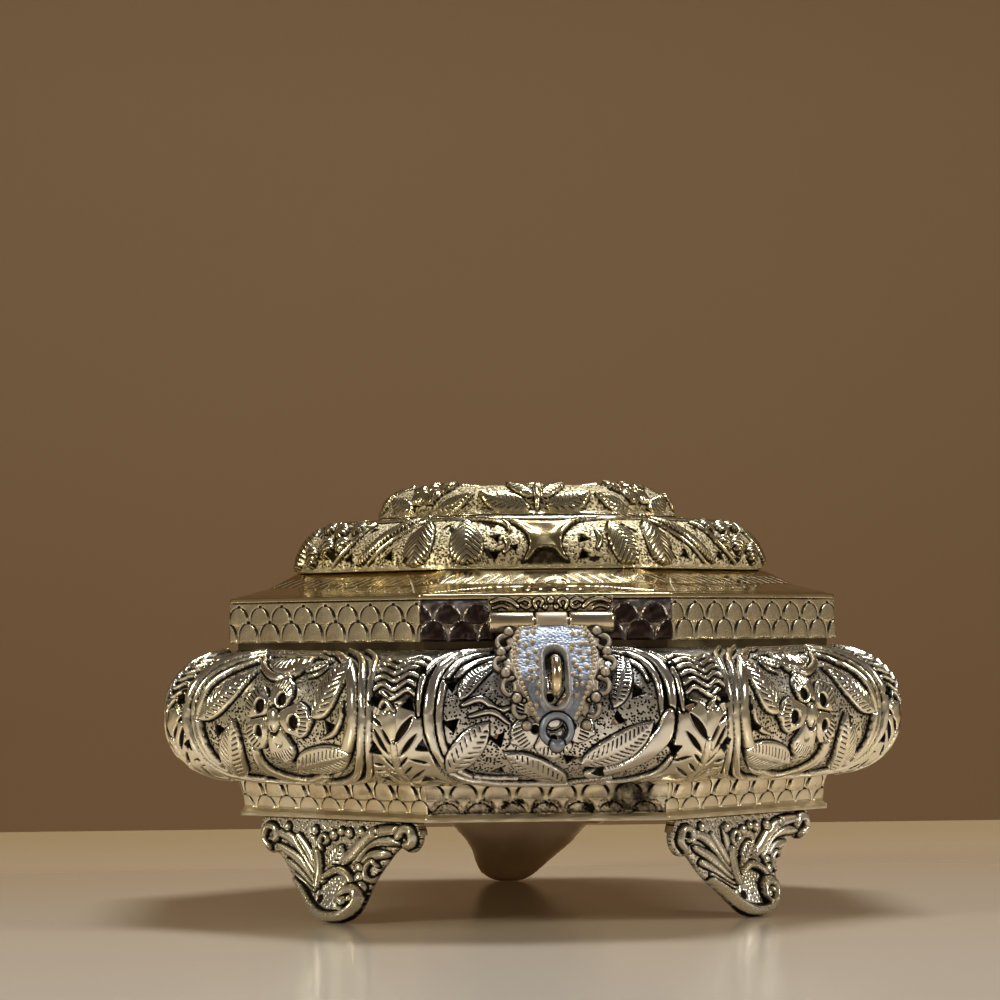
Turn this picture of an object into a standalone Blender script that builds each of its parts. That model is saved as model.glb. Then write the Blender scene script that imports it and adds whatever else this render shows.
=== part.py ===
# Octagonal pierced brass casket on three cast legs
# Metres, +Z up. The front, with the hasp, faces -Y. Every body is modelled closed, as the box stands shut.
import math

import bmesh
import bpy
from mathutils import Matrix, Vector

for old_object in list(bpy.data.objects):
    bpy.data.objects.remove(old_object, do_unlink=True)

# Driving dimensions
# Across: distances from the octagon's axis to a flat side
rim_apothem = 0.0748
rim_front_half_width = 0.0293
mouth_step = 0.0013
belly_swell = 0.0165
shoulder_width = 0.0163
box_axis_y = 0.0035

# Upwards, each on top of the last
leg_height = 0.0246
plinth_height = 0.0090
wall_height = 0.0314
mouth_gap = 0.0017
rim_height = 0.0096
shoulder_rise = 0.0073
dome_rise = 0.0135
platform_rise = 0.0078

# Sheet thicknesses and the gap between pieces that touch
wall_sheet = 0.0012
rim_sheet = 0.0011
collar_sheet = 0.0010
lid_sheet = 0.0010
touch_gap = 0.0003

mouth_apothem = rim_apothem - mouth_step
dome_foot = rim_apothem - shoulder_width
belly_apothem = mouth_apothem + belly_swell
wall_bottom = leg_height + plinth_height
wall_top = wall_bottom + wall_height
rim_bottom = wall_top + mouth_gap
rim_top = rim_bottom + rim_height
shoulder_top = rim_top + shoulder_rise
dome_bottom = shoulder_top + touch_gap
dome_top = dome_bottom + dome_rise
platform_bottom = dome_top + touch_gap

# Facets count from the front, anticlockwise from above
facet_names = ("front", "front_right", "right", "back_right", "back", "back_left", "left", "front_left")
facet_count = len(facet_names)
facet_turn = math.tau / facet_count
slope = math.tan(facet_turn / 2)
axis_point = Vector((0, box_axis_y, 0))
up = Vector((0, 0, 1))


def facet_axes(facet):
    """The outward and the sideways direction of a facet."""
    angle = facet * facet_turn - math.pi / 2
    outward = Vector((math.cos(angle), math.sin(angle), 0))
    return outward, up.cross(outward)


def facet_reach(facet, apothem):
    """Distance of a facet from the axis, and its half width, where the front facet is at this apothem."""
    front_half = rim_front_half_width + (apothem - rim_apothem) * slope
    if facet % 2 == 0:
        return apothem, front_half
    return (apothem + front_half) / math.sqrt(2), (apothem - front_half) / math.sqrt(2)


def on_facet(facet, apothem, sideways, height):
    """A point of a facet, sideways from its middle line."""
    outward, side = facet_axes(facet)
    reach, _ = facet_reach(facet, apothem)
    return axis_point + outward * reach + side * sideways + up * height


# Materials
def brass(name, colour, roughness, metallic):
    material = bpy.data.materials.new(name)
    material.use_nodes = True
    shader = material.node_tree.nodes["Principled BSDF"]
    shader.inputs["Base Color"].default_value = (*colour, 1)
    shader.inputs["Roughness"].default_value = roughness
    shader.inputs["Metallic"].default_value = metallic
    return material


pale_gold = (0.62, 0.55, 0.40)
warm_gold = (0.58, 0.49, 0.30)
dark_brown = (0.20, 0.16, 0.12)
grey_white = (0.52, 0.50, 0.46)
plain_bronze = (0.36, 0.26, 0.15)
polished = 0.28
worn = 0.38
dull = 0.52
full_metal = 1.0


# Mesh helpers
def make_object(name, mesh_data, colour, roughness, faces_turned=False):
    """A named object with its own material, from a bmesh. Its faces are turned outwards unless that is done."""
    if not faces_turned:
        bmesh.ops.recalc_face_normals(mesh_data, faces=mesh_data.faces)
    mesh = bpy.data.meshes.new(name)
    mesh_data.to_mesh(mesh)
    mesh_data.free()
    made = bpy.data.objects.new(name, mesh)
    bpy.context.scene.collection.objects.link(made)
    made.data.materials.append(brass(name + "_metal", colour, roughness, full_metal))
    return made


def loft_into(mesh_data, rings, loop=False):
    """Quads between closed rings of points. A loop joins the last ring to the first, else both ends are capped."""
    made = [[mesh_data.verts.new(point) for point in ring] for ring in rings]
    pairs = list(zip(made, made[1:]))
    if loop:
        pairs.append((made[-1], made[0]))
    for lower, upper in pairs:
        for index in range(len(lower)):
            after = (index + 1) % len(lower)
            mesh_data.faces.new((lower[index], lower[after], upper[after], upper[index]))
    if not loop:
        mesh_data.faces.new(list(reversed(made[0])))
        mesh_data.faces.new(made[-1])


def loft(name, rings, colour, roughness, loop=False):
    mesh_data = bmesh.new()
    loft_into(mesh_data, rings, loop)
    return make_object(name, mesh_data, colour, roughness)


def helper(made):
    """Marks an object that only cuts or fuses others."""
    made.hide_render = True
    made.display_type = "WIRE"
    return made


def boolean(target, other, operation):
    modifier = target.modifiers.new(operation.title() + " " + other.name, "BOOLEAN")
    modifier.object = helper(other)
    modifier.operation = operation
    modifier.solver = "EXACT"
    return target


def shade_round(made):
    for face in made.data.polygons:
        face.use_smooth = True


def bead(name, centre, axis, outline, steps, colour, roughness):
    """A solid turned about an axis through centre. The outline lists (distance along the axis, radius)."""
    direction = Vector(axis).normalized()
    first = direction.orthogonal().normalized()
    second = direction.cross(first)
    rings = []
    for along, radius in outline:
        ring = []
        for step in range(steps):
            angle = math.tau * step / steps
            ring.append(centre + direction * along + (first * math.cos(angle) + second * math.sin(angle)) * radius)
        rings.append(ring)
    made = loft(name, rings, colour, roughness)
    shade_round(made)
    return made


def tube(name, centre, axis, half_length, radius, bore, steps, colour, roughness):
    """A hollow barrel, open at both ends."""
    direction = Vector(axis).normalized()
    first = direction.orthogonal().normalized()
    second = direction.cross(first)
    corners = ((-half_length, radius), (half_length, radius), (half_length, bore), (-half_length, bore))
    rings = []
    for step in range(steps):
        angle = math.tau * step / steps
        spoke = first * math.cos(angle) + second * math.sin(angle)
        rings.append([centre + direction * along + spoke * out for along, out in corners])
    return loft(name, rings, colour, roughness, loop=True)


def sheet_outline(outer, thickness):
    """Closes an open (apothem, height) line into a sheet, offset to the inner side of the line."""
    inner = []
    for index, (apothem, height) in enumerate(outer):
        before = outer[max(index - 1, 0)]
        after = outer[min(index + 1, len(outer) - 1)]
        run = Vector((after[0] - before[0], after[1] - before[1])).normalized()
        inner.append((apothem + run.y * thickness, height - run.x * thickness))
    return list(outer) + inner[::-1]


def facet_strip(name, facet, outline, colour, roughness):
    """One facet's strip of a given cross-section, mitred to its neighbours."""
    seam = touch_gap / 2 / math.cos(facet_turn / 2)
    ends = []
    for side in (-1, 1):
        end = []
        for apothem, height in outline:
            _, half_width = facet_reach(facet, apothem)
            end.append(on_facet(facet, apothem, side * (half_width - seam), height))
        ends.append(end)
    return loft(name, ends, colour, roughness)


def octagon_ring(apothem, height):
    return [on_facet(facet, apothem, -facet_reach(facet, apothem)[1], height) for facet in range(facet_count)]


def rounded_ring(apothem, height, round_share, corner_steps):
    """An octagon with its corners turned to arcs. round_share 1 gives a full circle."""
    ring = []
    arc_radius = apothem * round_share
    core = apothem - arc_radius
    for facet in range(facet_count):
        corner_angle = (facet - 1 / 2) * facet_turn - math.pi / 2
        corner_reach = core / math.cos(facet_turn / 2)
        corner = Vector((math.cos(corner_angle), math.sin(corner_angle), 0)) * corner_reach
        for step in range(corner_steps):
            swing = (step / (corner_steps - 1) - 1 / 2) * facet_turn
            spoke = Vector((math.cos(corner_angle + swing), math.sin(corner_angle + swing), 0))
            ring.append(axis_point + corner + spoke * arc_radius + up * height)
    return ring


# The body wall: eight bombe panels, cast and pierced
wall_profile_shares = (
    (0.0, 1.0), (0.27, 0.968), (0.53, 0.917), (0.745, 0.841), (0.90, 0.742), (0.98, 0.631),
    (1.0, 0.513), (0.99, 0.395), (0.935, 0.287), (0.82, 0.185), (0.625, 0.096), (0.35, 0.032), (0.0, 0.0),
)
wall_profile = [
    (mouth_apothem + swell * belly_swell, wall_bottom + rise * wall_height) for swell, rise in wall_profile_shares
]
front_piercing_shares = (
    (-0.64, 0.338, 1.0, 0.1), (-0.638, 0.527, 1.0, 0.45), (-0.343, 0.597, 1.0, 0.8), (0.559, 0.381, 1.0, 0.3),
    (0.427, 0.507, 0.95, 0.6), (0.115, 0.703, 0.9, 0.05), (-0.331, 0.784, 0.85, 0.55), (0.312, 0.762, 0.85, 0.2),
    (0.89, 0.448, 0.9, 0.7), (-0.915, 0.436, 0.9, 0.2), (-0.831, 0.621, 0.85, 0.9), (0.79, 0.646, 0.9, 0.4),
    (-0.823, 0.267, 0.9, 0.5), (0.787, 0.242, 0.9, 0.0), (-0.79, 0.825, 0.85, 0.3),
)
corner_piercing_shares = (
    (-0.54, 0.56, 1.0, 0.35), (0.435, 0.538, 1.0, 0.7), (-0.26, 0.843, 0.8, 0.1), (0.843, 0.418, 1.0, 0.2),
    (0.812, 0.633, 0.95, 0.9), (-0.85, 0.418, 1.0, 0.6), (-0.81, 0.633, 0.95, 0.15), (0.746, 0.823, 0.85, 0.45),
    (0.3, 0.82, 0.8, 0.8), (-0.148, 0.446, 0.55, 0.25), (0.049, 0.397, 0.55, 0.95), (0.159, 0.517, 0.55, 0.1),
    (0.023, 0.617, 0.55, 0.45), (-0.143, 0.558, 0.55, 0.6),
)
piercing_radius = 0.0023
piercing_reach = 0.0030
piercing_sides = 3


def wall_reach(height):
    """The wall's distance from the axis at a height."""
    for here, there in zip(wall_profile, wall_profile[1:]):
        if here[1] >= height >= there[1]:
            share = (here[1] - height) / (here[1] - there[1])
            return here[0] + (there[0] - here[0]) * share
    return mouth_apothem


def wall_spot(share):
    """The (apothem, height) at a share of the wall's curve, from its top edge, with the outward direction there."""
    lengths = [math.dist(here, there) for here, there in zip(wall_profile, wall_profile[1:])]
    left = share * sum(lengths)
    for (here, there), length in zip(zip(wall_profile, wall_profile[1:]), lengths):
        if left <= length:
            break
        left -= length
    run = Vector((there[0] - here[0], there[1] - here[1])) / length
    return here[0] + run.x * left, here[1] + run.y * left, run


def piercings(name, facet, shares):
    """Three-sided punches through one panel, square to its surface."""
    outward, side = facet_axes(facet)
    mesh_data = bmesh.new()
    widest = facet_reach(facet, belly_apothem)[1]
    for across, down, size, turn in shares:
        apothem, height, run = wall_spot(down)
        middle = on_facet(facet, apothem, across * widest, height)
        normal = outward * -run.y + up * run.x
        along = normal.cross(side)
        rings = []
        for reach in (-piercing_reach, piercing_reach):
            ring = []
            for corner in range(piercing_sides):
                angle = math.tau * (corner / piercing_sides + turn)
                spoke = side * math.cos(angle) + along * math.sin(angle)
                ring.append(middle + normal * reach + spoke * piercing_radius * size)
            rings.append(ring)
        loft_into(mesh_data, rings)
    return make_object(name, mesh_data, dark_brown, dull)


for facet, facet_name in enumerate(facet_names):
    panel = facet_strip("wall_" + facet_name, facet, sheet_outline(wall_profile, wall_sheet), pale_gold, polished)
    shares = front_piercing_shares if facet % 2 == 0 else corner_piercing_shares
    boolean(panel, piercings("punches_" + facet_name, facet, shares), "DIFFERENCE")

# The plinth: eight strips below the wall, and the plate that closes the bottom
plinth_bottom = leg_height
plinth_flare = mouth_apothem - touch_gap - wall_sheet / 4
plinth_inset = 0.0023
plinth_lip_out = 0.0013
plinth_lip_height = 0.0009
plinth_waist = mouth_apothem - plinth_inset
plinth_lip = plinth_waist + plinth_lip_out
plinth_line = [
    (plinth_flare, wall_bottom + wall_sheet),
    (plinth_lip, wall_bottom - plinth_height / 8),
    ((plinth_lip + plinth_waist) / 2, wall_bottom - plinth_height / 3),
    (plinth_waist, plinth_bottom + plinth_height / 4),
    (plinth_lip, plinth_bottom + plinth_lip_height),
    (plinth_lip, plinth_bottom),
]
for facet, facet_name in enumerate(facet_names):
    facet_strip("plinth_" + facet_name, facet, sheet_outline(plinth_line, wall_sheet), warm_gold, worn)

base_apothem = plinth_waist - wall_sheet * 2 - touch_gap
base_sheet = 0.0014
base_bottom = leg_height
loft(
    "base_plate",
    [octagon_ring(base_apothem, base_bottom), octagon_ring(base_apothem, base_bottom + base_sheet)],
    plain_bronze,
    dull,
)

# The mouth collar: an upright band inside the wall's top edge, which the lid's rim slips over
collar_outer = mouth_apothem - touch_gap * 2
collar_top = rim_bottom + rim_height / 2
collar_bottom = wall_top - wall_sheet * 2
collar_inner = collar_outer - collar_sheet
loft(
    "mouth_collar",
    [
        octagon_ring(collar_outer, collar_bottom),
        octagon_ring(collar_outer, collar_top),
        octagon_ring(collar_inner, collar_top),
        octagon_ring(collar_inner, collar_bottom),
    ],
    plain_bronze,
    worn,
    loop=True,
)

# The legs: three castings of one pattern, a fan of flutes that closes to a curled toe
leg_facets = {"leg_front_left": 7, "leg_front_right": 1, "leg_back": 4}
leg_set_in = 0.0022
leg_top_reach = plinth_waist - leg_set_in
leg_width = 0.0530
leg_depth = 0.0040
leg_top = leg_height - touch_gap
leg_flutes = 6
leg_front_points = 13
leg_back_points = 3
# Height share, left edge share, right edge share, middle's lean share, depth share
leg_section_shares = (
    (1.0, -0.47, 0.47, 0.0, 0.9), (0.90, -0.46, 0.46, 0.0, 0.95), (0.76, -0.38, 0.385, -0.03, 0.8),
    (0.66, -0.335, 0.335, -0.05, 0.75), (0.53, -0.30, 0.285, -0.04, 0.8), (0.40, -0.25, 0.24, 0.04, 0.9),
    (0.27, -0.185, 0.19, 0.2, 1.05), (0.17, -0.165, 0.165, 0.4, 1.25), (0.095, -0.155, 0.135, 0.6, 1.3),
    (0.035, -0.10, 0.09, 0.7, 1.1), (0.0, -0.05, 0.05, 0.74, 0.7),
)
flute_depth_share = 0.16
bulge_share = 0.30
volute_radius = 0.0035
volute_shares = ((-0.440, 0.79, 1.05), (0.445, 0.83, 0.95))
toe_curl_radius = 0.0032
toe_curl_shares = (0.055, 0.26)


def leg_point(facet, sideways, lean, height):
    outward, side = facet_axes(facet)
    reach = leg_top_reach + (facet_reach(facet, rim_apothem)[0] - rim_apothem)
    return axis_point + outward * (reach + lean) + side * sideways + up * height


def leg_sections(facet):
    rings = []
    for rise, left, right, lean_share, depth_share in leg_section_shares:
        height = rise * leg_top
        depth = depth_share * leg_depth
        lean = lean_share * leg_depth
        ring = []
        for step in range(leg_front_points):
            share = step / (leg_front_points - 1)
            sideways = (left + (right - left) * share) * leg_width
            crown = math.sin(math.pi * share)
            ripple = math.cos(math.tau * leg_flutes * share) * flute_depth_share * crown
            front = depth * (1 / 2 + bulge_share * crown + ripple)
            ring.append(leg_point(facet, sideways, lean + front, height))
        for step in range(leg_back_points):
            share = 1 - (step + 1 / 2) / leg_back_points
            sideways = (left + (right - left) * share) * leg_width
            ring.append(leg_point(facet, sideways, lean - depth / 2, height))
        rings.append(ring)
    return rings


for leg_name, facet in leg_facets.items():
    outward, side = facet_axes(facet)
    leg = loft(leg_name, leg_sections(facet), pale_gold if facet % 2 else plain_bronze, worn)
    shade_round(leg)
    for number, (across, rise, size) in enumerate(volute_shares):
        radius = volute_radius * size
        outline = (
            (-leg_depth / 2, radius * 3 / 4),
            (-leg_depth / 3, radius),
            (leg_depth / 2, radius),
            (leg_depth * 3 / 4, radius * 3 / 4),
            (leg_depth * 5 / 6, radius / 3),
        )
        centre = leg_point(facet, across * leg_width, 0, rise * leg_top)
        volute = bead(leg_name + "_volute" + str(number), centre, outward, outline, 14, pale_gold, worn)
        boolean(leg, volute, "UNION")
    curl_outline = (
        (-leg_depth / 4, toe_curl_radius),
        (leg_depth / 2, toe_curl_radius),
        (leg_depth * 4 / 5, toe_curl_radius * 3 / 4),
        (leg_depth, toe_curl_radius / 3),
    )
    curl_lean = leg_depth * 3 / 5
    curl_centre = leg_point(facet, toe_curl_shares[0] * leg_width, curl_lean, toe_curl_shares[1] * leg_top)
    boolean(leg, bead(leg_name + "_curl", curl_centre, outward, curl_outline, 14, pale_gold, worn), "UNION")

# The lid's rim: eight strips with a raised edge
rim_line = [(rim_apothem, rim_top), (rim_apothem, rim_bottom)]
for facet, facet_name in enumerate(facet_names):
    colour = dark_brown if facet == 0 else warm_gold
    facet_strip("rim_" + facet_name, facet, sheet_outline(rim_line, rim_sheet), colour, worn)

# The lid's shoulder: one bent and mitred sheet
shoulder_bottom = rim_top + touch_gap
shoulder_edge = shoulder_bottom + lid_sheet
shoulder_seat = dome_foot + touch_gap
shoulder_lip = dome_foot - lid_sheet * 5 / 2
shoulder_break_shares = (0.40, 0.535)
shoulder_break = (
    shoulder_seat + (rim_apothem - shoulder_seat) * shoulder_break_shares[0],
    rim_top + shoulder_rise * shoulder_break_shares[1],
)
shoulder_outline = [
    (rim_apothem, shoulder_bottom),
    (rim_apothem, shoulder_edge),
    shoulder_break,
    (shoulder_seat, shoulder_top),
    (shoulder_lip, shoulder_top),
    (shoulder_lip, shoulder_top - lid_sheet),
    (shoulder_seat - lid_sheet / 3, shoulder_top - lid_sheet),
    (shoulder_break[0] - lid_sheet / 3, shoulder_break[1] - lid_sheet),
    (rim_apothem - rim_sheet, shoulder_bottom),
]
loft(
    "lid_shoulder",
    [octagon_ring(apothem, height) for apothem, height in shoulder_outline],
    warm_gold,
    polished,
    loop=True,
)

# The lid's dome: a pierced band with softened corners
dome_line_shares = (
    (1.0, 0.0), (0.994, 0.17), (0.977, 0.37), (0.94, 0.60), (0.88, 0.79), (0.815, 0.885), (0.725, 0.95), (0.65, 1.0),
)
dome_line = [(across * dome_foot, dome_bottom + rise * dome_rise) for across, rise in dome_line_shares]
dome_line = dome_line[::-1]
dome_round_share = 0.30
dome_corner_steps = 3
dome_outline = sheet_outline(dome_line, lid_sheet)
dome = loft(
    "lid_dome",
    [rounded_ring(apothem, height, dome_round_share, dome_corner_steps) for apothem, height in dome_outline],
    pale_gold,
    polished,
    loop=True,
)
shade_round(dome)

# Raised forms on the lid's castings, each a closed body that follows the surface and sinks into its sheet
form_sink = lid_sheet / 2
form_edge = lid_sheet / 2
leaf_crown = lid_sheet * 6 / 5
knob_crown = lid_sheet * 3 / 2
leaf_row_shares = ((0.30, 0.95), (0.68, 0.85))
lozenge_row_shares = ((0.42, 1.0),)
knob_sides = 5
petal_count = 6
mirrored_facets = (1, 3)


def disc_points(middle_x, middle_z, radius, steps):
    return [
        (middle_x + radius * math.cos(math.tau * step / steps),
         middle_z + radius * math.sin(math.tau * step / steps))
        for step in range(steps)
    ]


def lid_spot(line, facet, across, down, lift):
    """A point on a casting: sideways on a facet, down its side line, and lifted off the surface."""
    for here, there in zip(line, line[1:]):
        length = math.dist(here, there)
        if down <= length:
            break
        down -= length
    run = Vector((there[0] - here[0], there[1] - here[1])) / length
    reach = here[0] + run.x * down
    arc_radius = reach * dome_round_share
    flat = (reach - arc_radius) * slope
    beyond = max(abs(across) - flat, 0)
    swing = math.copysign(beyond / (arc_radius * slope) * facet_turn / 2, across)
    angle = facet * facet_turn - math.pi / 2
    spoke = Vector((math.cos(angle + swing), math.sin(angle + swing), 0))
    outward, side = facet_axes(facet)
    on_side = outward * (reach - arc_radius) + side * math.copysign(min(abs(across), flat), across)
    normal = spoke * -run.y + up * run.x
    return axis_point + on_side + spoke * arc_radius + up * (here[1] + run.y * down) + normal * lift


def places_on(line, facet, unit):
    """Finds the points of one facet. Places count in shares of one length, sideways and down the side line."""
    flip = -1 if facet in mirrored_facets else 1
    return lambda across, down, lift: lid_spot(line, facet, across * unit * flip, down * unit, lift)


def add_form(mesh_data, spot, outline, crowns, faces):
    """One raised body. The faces index the outline and then the crowns, for the top and for the underside."""
    body = bmesh.new()
    top = [body.verts.new(spot(across, down, form_edge)) for across, down in outline]
    top += [body.verts.new(spot(across, down, lift)) for across, down, lift in crowns]
    under = [body.verts.new(spot(across, down, -form_sink)) for across, down in outline]
    under += [body.verts.new(spot(across, down, -form_sink)) for across, down, lift in crowns]
    for face in faces:
        body.faces.new([top[index] for index in face])
        body.faces.new([under[index] for index in reversed(face)])
    for index in range(len(outline)):
        after = (index + 1) % len(outline)
        body.faces.new((under[index], under[after], top[after], top[index]))
    bmesh.ops.recalc_face_normals(body, faces=body.faces)
    if body.calc_volume(signed=True) < 0:
        bmesh.ops.reverse_faces(body, faces=body.faces)
    one_form = bpy.data.meshes.new("one_form")
    body.to_mesh(one_form)
    body.free()
    mesh_data.from_mesh(one_form)
    bpy.data.meshes.remove(one_form)


def add_blade(mesh_data, spot, path, half_widths):
    """A pointed body with a ridge along a path. The half widths belong to the path's inner places."""
    points = [Vector(place) for place in path]
    rights, lefts, ridge = [], [], []
    for index, half_width in enumerate(half_widths, 1):
        along = (points[index + 1] - points[index - 1]).normalized()
        side = Vector((-along.y, along.x)) * half_width
        rights.append(points[index] - side)
        lefts.append(points[index] + side)
        ridge.append((*points[index], leaf_crown))
    outline = [points[0], *rights, points[-1], *reversed(lefts)]
    inner, count = len(ridge), len(outline)
    faces = [(0, 1, count), (0, count, count - 1)]
    faces += [(inner, inner + 1, count + inner - 1), (inner + 1, inner + 2, count + inner - 1)]
    for index in range(inner - 1):
        here, there = count + index, count + index + 1
        faces += [(index + 1, index + 2, there), (index + 1, there, here)]
        faces += [(count - 1 - index, here, there), (count - 1 - index, there, count - 2 - index)]
    add_form(mesh_data, spot, outline, ridge, faces)


def add_leaf(mesh_data, spot, leaf, rows):
    """A straight leaf from a row of numbers: where it starts, where it ends, and half its width."""
    start, tip, half_width = Vector(leaf[:2]), Vector(leaf[2:4]), leaf[4]
    path = [start, *(start + (tip - start) * share for share, _ in rows), tip]
    add_blade(mesh_data, spot, path, [half_width * width for _, width in rows])


def add_fan(mesh_data, spot, outline, middle, crown):
    """Faces from an outline up to one raised middle."""
    count = len(outline)
    faces = [(index, (index + 1) % count, count) for index in range(count)]
    add_form(mesh_data, spot, outline, [(*middle, crown)], faces)


def add_rosette(mesh_data, spot, middle, petal_reach, notch_reach, crown_reach):
    """Petals round a raised middle."""
    tips = disc_points(*middle, petal_reach, petal_count)
    half_turn = disc_points(*middle, notch_reach, petal_count * 2)[1::2]
    outline = [place for pair in zip(tips, half_turn) for place in pair]
    crowns = [(*place, leaf_crown) for place in disc_points(*middle, crown_reach, petal_count)]
    crowns.append((*middle, knob_crown))
    faces = []
    for petal in range(petal_count):
        tip, dip, before = petal * 2, petal * 2 + 1, (petal * 2 - 1) % len(outline)
        here = len(outline) + petal
        after = len(outline) + (petal + 1) % petal_count
        middle_point = len(outline) + petal_count
        faces += [(before, tip, here), (tip, dip, here), (dip, after, here), (here, after, middle_point)]
    add_form(mesh_data, spot, outline, crowns, faces)


# The dome's forms and punches, in shares of half a facet's width at the foot
dome_half = dome_foot * slope
dome_leaf_shares = ((-0.726, 1.075, -0.710, 0.537, 0.160), (0.950, 1.075, 0.685, 0.586, 0.150))
scroll_leaf_shares = ((0.685, 1.085, 0.627, 0.553, 0.165),)
scroll_cord_shares = ((-0.107, 1.057), (0.058, 0.854), (0.235, 0.677), (0.355, 0.479), (0.388, 0.310))
scroll_cord_width_shares = (0.047, 0.047, 0.035)
star_middle_shares = (0.055, 0.797)
star_outline_shares = (
    (-0.36, 0.45), (0.05, 0.685), (0.458, 0.45), (0.20, 0.842), (0.26, 1.044), (0.05, 0.966), (-0.15, 1.044),
    (-0.10, 0.842),
)
scroll_knob_shares = ((-0.38, 0.60), (-0.58, 0.64), (-0.64, 0.86), (-0.81, 0.97))
scroll_knob_radius_share = 0.09
star_punch_shares = (
    (-0.454, 0.974, 1.0, 0.1), (-0.437, 0.780, 0.94, 0.45), (-0.26, 0.90, 0.76, 0.8), (0.429, 0.800, 1.0, 0.3),
    (0.425, 0.987, 1.0, 0.6),
)
scroll_punch_shares = ((0.289, 0.974, 1.0, 0.55), (-0.264, 0.987, 0.94, 0.2), (-0.124, 0.619, 0.88, 0.7))
dome_punch_radius = 0.0017

dome_forms, dome_punches = bmesh.new(), bmesh.new()
for facet in range(facet_count):
    spot = places_on(dome_line, facet, dome_half)
    if facet % 2 == 0:
        leaves, punches = dome_leaf_shares, star_punch_shares
        add_fan(dome_forms, spot, star_outline_shares, star_middle_shares, leaf_crown)
    else:
        leaves, punches = scroll_leaf_shares, scroll_punch_shares
        add_blade(dome_forms, spot, scroll_cord_shares, scroll_cord_width_shares)
        for middle in scroll_knob_shares:
            outline = disc_points(*middle, scroll_knob_radius_share, knob_sides)
            add_fan(dome_forms, spot, outline, middle, knob_crown)
    for leaf in leaves:
        add_leaf(dome_forms, spot, leaf, leaf_row_shares)
    for across, down, size, turn in punches:
        rings = []
        for lift in (-piercing_reach, piercing_reach):
            spokes = disc_points(0, 0, dome_punch_radius / dome_half * size, piercing_sides)
            cos_turn, sin_turn = math.cos(math.tau * turn), math.sin(math.tau * turn)
            rings.append([spot(across + x * cos_turn - y * sin_turn, down - x * sin_turn - y * cos_turn, lift)
                          for x, y in spokes])
        loft_into(dome_punches, rings)
boolean(dome, make_object("dome_forms", dome_forms, pale_gold, polished, True), "UNION")
boolean(dome, make_object("dome_punches", dome_punches, dark_brown, dull), "DIFFERENCE")

# The lid's top platform: a shallow cap with rosettes at its slanting sides and leaves between them
platform_foot = dome_foot * dome_line_shares[-1][0] - touch_gap
platform_line_shares = (
    (1.0, 0.0), (0.962, 0.22), (0.937, 0.50), (0.89, 0.70), (0.805, 0.90), (0.66, 1.0), (0.33, 0.88), (0.08, 0.80),
)
platform_line = [
    (across * platform_foot, platform_bottom + rise * platform_rise) for across, rise in platform_line_shares
]
platform_inside = sheet_outline(platform_line[::-1], lid_sheet)[len(platform_line):]
cap_rings = [rounded_ring(apothem, max(height, platform_bottom), dome_round_share, dome_corner_steps)
             for apothem, height in platform_inside[::-1]]
outer_rings = [rounded_ring(apothem, height, dome_round_share, dome_corner_steps)
               for apothem, height in platform_line]
platform = loft("lid_platform", cap_rings + outer_rings, pale_gold, polished)
shade_round(platform)

# Its forms, in shares of half a facet's width at the foot, counted from the middle of the lid
platform_half = platform_foot * slope
from_middle = [(0, platform_line[-1][1]), *platform_line[::-1]]
top_leaf_shares = ((0.0, 1.548, 0.0, 0.608, 0.272),)
low_leaf_shares = (
    ((-0.077, 2.495, -0.84, 2.225, 0.19), (0.18, 2.495, 0.87, 2.225, 0.18)),
    ((-0.294, 2.508, -0.83, 2.275, 0.14), (0.2175, 2.508, 0.81, 2.25, 0.14)),
)
high_leaf_shares = ((-0.03, 2.30, -0.38, 1.86, 0.12), (0.12, 2.28, 0.46, 1.84, 0.12))
rosette_middle_shares = (-0.128, 2.047)
rosette_reach_shares = (0.355, 0.215, 0.225)

platform_forms = bmesh.new()
for facet in range(facet_count):
    spot = places_on(from_middle, facet, platform_half)
    for leaf in low_leaf_shares[facet % 2]:
        add_leaf(platform_forms, spot, leaf, leaf_row_shares)
    for leaf in top_leaf_shares:
        add_leaf(platform_forms, spot, leaf, lozenge_row_shares)
    if facet % 2 == 0:
        for leaf in high_leaf_shares:
            add_leaf(platform_forms, spot, leaf, leaf_row_shares)
    else:
        add_rosette(platform_forms, spot, rosette_middle_shares, *rosette_reach_shares)
boolean(platform, make_object("platform_forms", platform_forms, pale_gold, polished, True), "UNION")

# The rear hinge: a butt hinge whose barrel stands behind the rim
hinge_steps = 16
rear_barrel_radius = 0.0018
rear_bore = 0.0011
rear_pin_radius = 0.0008
rear_leaf_sheet = 0.0009
rear_axis_reach = rim_apothem + rear_barrel_radius + rear_leaf_sheet - touch_gap / 2
rear_axis_height = rim_bottom + rear_leaf_sheet
rear_knuckle = 0.0130
rear_middle = axis_point + Vector((0, rear_axis_reach, rear_axis_height))
hinge_axis = Vector((1, 0, 0))
rear_half_span = rear_knuckle * 3 / 2 + touch_gap
rear_leaf_bottom = rear_axis_height + rear_barrel_radius + touch_gap * 2
rear_leaf_top = rim_top - touch_gap


def block(name, low, high, colour, roughness):
    """A plain box between two corners."""
    rings = []
    for height in (low[2], high[2]):
        rings.append([
            Vector((low[0], low[1], height)),
            Vector((high[0], low[1], height)),
            Vector((high[0], high[1], height)),
            Vector((low[0], high[1], height)),
        ])
    return loft(name, rings, colour, roughness)


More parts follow.
